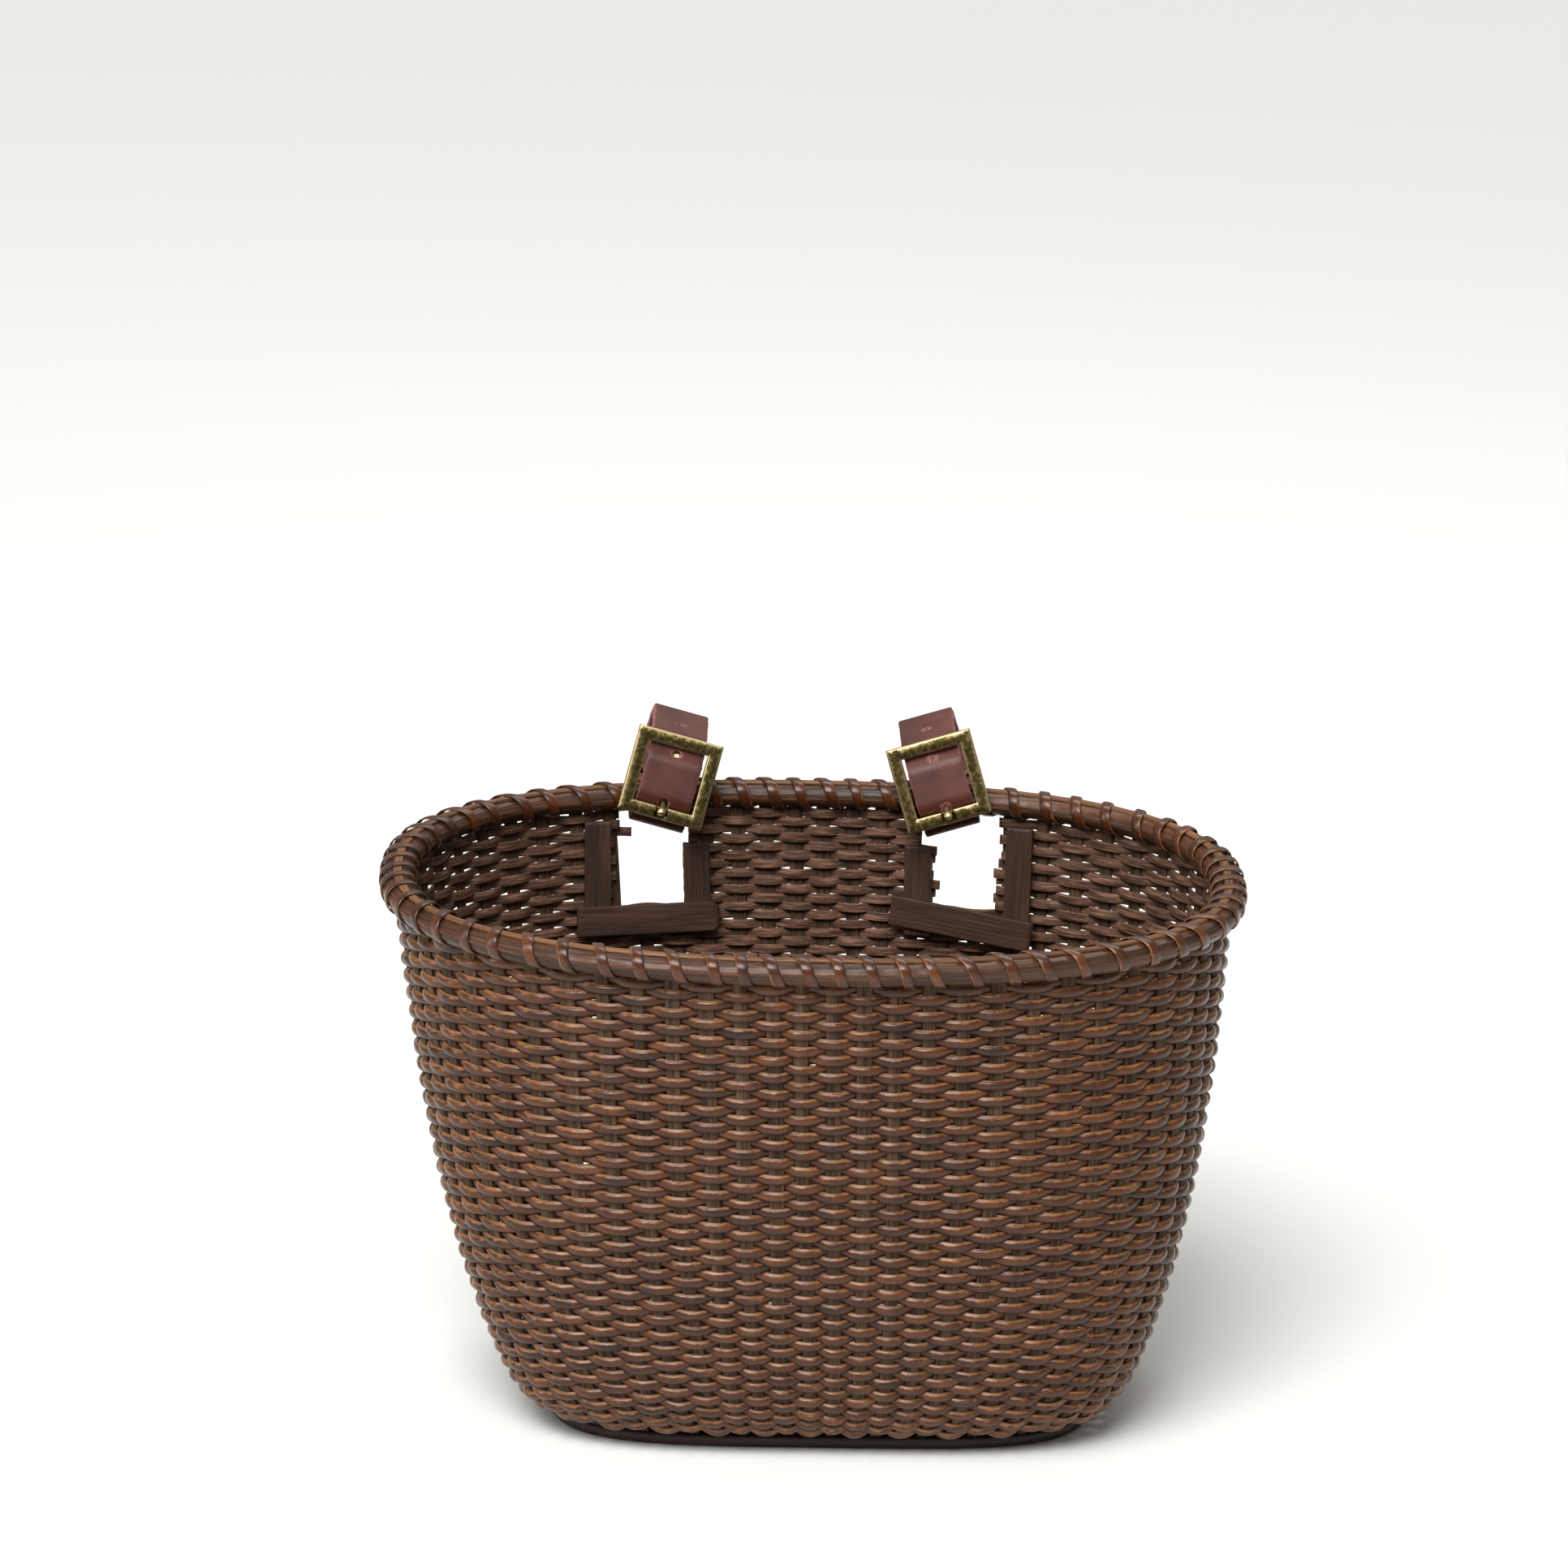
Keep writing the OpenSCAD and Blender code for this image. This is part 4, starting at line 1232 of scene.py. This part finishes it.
def build_prong(side, word):
    """A tapering prong, gently bowed, with an eye round the buckle's bar."""
    knots = np.array(
        [[-3.0, -1.0], [-2.75, -3.5], [-2.5, -6.5], [-2.1, -9.2], [-0.7, -11.4], [1.1, -13.0],
         [2.3, -14.6], [2.75, -16.4]]
    )  # fmt: skip
    t = np.linspace(0, 1, 30)
    spread = np.linspace(0, 1, len(knots))
    middle = np.stack([np.interp(t, spread, knots[:, i]) for i in (0, 1)], -1)
    for _ in range(3):
        middle[1:-1] = (middle[:-2] + 2 * middle[1:-1] + middle[2:]) / 4
    off = sides_of(middle)
    ball = np.sqrt(np.maximum(0.0, 1 - ((t - 0.9) / 0.1) ** 2))
    radius = np.where(t < 0.9, 1.2 + 0.65 * np.clip((t - 0.72) / 0.14, 0, 1), 1.85 * ball + 0.05)
    turn = np.linspace(0, 2 * np.pi, 19)[:-1]
    strips = Strips()
    rings = []
    for c, d, r in zip(middle, off, radius):
        ring = np.stack([d[0] * np.cos(turn), d[1] * np.cos(turn), np.sin(turn)], -1)
        rings.append([*c, 0.0] + r * ring)
    # The ball tip is painted brightest: partly rubbed brass, partly a painted highlight.
    skin = np.where(t > 0.8, 0.1, 0.8)[:, None] * np.ones(18)
    strips.sweep(buckle_place(np.array(rings), side), t * 17, turn, skin, 0.0)
    inner_r = HINGE_R + HINGE_PLAY
    outer_r = inner_r + 1.3
    half = [(inner_r, 1.4), (outer_r - 0.3, 1.5), (outer_r, 1.1)]
    profile = [(r, -z) for r, z in half] + half[::-1]
    eye = []
    for a in np.linspace(0, 2 * np.pi, 33)[:-1]:
        eye.append([(r * math.cos(a) - HINGE_BACK, r * math.sin(a), z) for r, z in profile])
    eye = buckle_place(np.array(eye), side)
    strips.sweep(eye, np.arange(33.0), np.arange(6.0), 0.7, 1.0, True)
    name = f"{word}_brass_prong"
    strips.make(name, prong_brass, f"{word}_prong", [f"{word}_buckle_prong"])


for side, word in ((-1, "left"), (1, "right")):
    build_strap(side, word)
    build_buckle(side, word)
    build_prong(side, word)
    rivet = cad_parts[f"{word}_strap_rivet"]
    rivet.data.materials.clear()
    rivet.data.materials.append(prong_brass)

# ---- Floor, light and camera ----

FLOOR_SIZE = 14.0
h = FLOOR_SIZE / 2
floor_mesh = bpy.data.meshes.new("floor")
floor_mesh.from_pydata([(-h, -h, 0), (h, -h, 0), (h, h, 0), (-h, h, 0)], [], [(0, 1, 2, 3)])
floor = bpy.data.objects.new("floor", floor_mesh)
bpy.context.scene.collection.objects.link(floor)
paint = Nodes("pale_floor")
paint.set("Base Color", (0.8, 0.795, 0.765, 1.0))
paint.set("Roughness", 0.95)
paint.set("Specular IOR Level", 0.1)
floor_mesh.materials.append(paint.material)

world = bpy.data.worlds.new("studio")
bpy.context.scene.world = world
world.use_nodes = True
sky = world.node_tree.nodes["Background"]
sky.inputs["Color"].default_value = (1.0, 0.99, 0.95, 1.0)
sky.inputs["Strength"].default_value = 0.32


def area_light(name, place, target, size, power):
    light = bpy.data.lights.new(name, "AREA")
    light.shape = "RECTANGLE"
    light.size, light.size_y = size
    light.energy = power
    obj = bpy.data.objects.new(name, light)
    obj.location = place
    obj.rotation_mode = "QUATERNION"
    obj.rotation_quaternion = (Vector(target) - Vector(place)).to_track_quat("-Z", "Y")
    bpy.context.scene.collection.objects.link(obj)


area_light("key_panel", (-0.35, -1.15, 1.5), (0, 0, 0.12), (1.0, 0.6), 16.0)
area_light("back_panel", (0.35, 1.0, 1.5), (0, 0, 0.15), (1.2, 0.5), 8.0)
area_light("side_panel", (-1.6, -0.5, 0.7), (0, 0, 0.12), (0.4, 1.0), 6.0)

sun = bpy.data.lights.new("soft_sun", "SUN")
sun.energy = 2.6
sun.angle = math.radians(40)
sun_object = bpy.data.objects.new("soft_sun", sun)
sun_object.rotation_euler = (math.radians(30), math.radians(-14), 0.0)
bpy.context.scene.collection.objects.link(sun_object)

# The camera looks at a point AXIS_X across and AXIS_Z over the middle of the rim.
LENS = 144.4
PITCH = math.radians(17.5)
YAW = math.radians(1.0)
ROLL = math.radians(-1.2)
DISTANCE = 2500.0
AXIS_X = -12.43
AXIS_Z = 39.3
camera_data = bpy.data.cameras.new("camera")
camera_data.lens = LENS
camera_data.clip_end = 50.0
camera = bpy.data.objects.new("camera", camera_data)
forward = Vector((0.0, math.cos(PITCH), -math.sin(PITCH)))
right = Vector((1.0, 0.0, 0.0))
upward = Vector((0.0, math.sin(PITCH), math.cos(PITCH)))
cam_right = math.cos(ROLL) * right - math.sin(ROLL) * upward
cam_up = math.sin(ROLL) * right + math.cos(ROLL) * upward
aim = Vector((AXIS_X, 0.0, AXIS_Z))
turn_back = Matrix.Rotation(-YAW, 3, "Z")
spot = turn_back @ (aim - DISTANCE * forward) + Vector((0, 0, RIM_Z))
axes = Matrix([turn_back @ cam_right, turn_back @ cam_up, turn_back @ -forward]).transposed()
camera.matrix_world = Matrix.Translation(spot * MM) @ axes.to_4x4()
bpy.context.scene.collection.objects.link(camera)
bpy.context.scene.camera = camera
bpy.context.scene.view_settings.view_transform = "Standard"
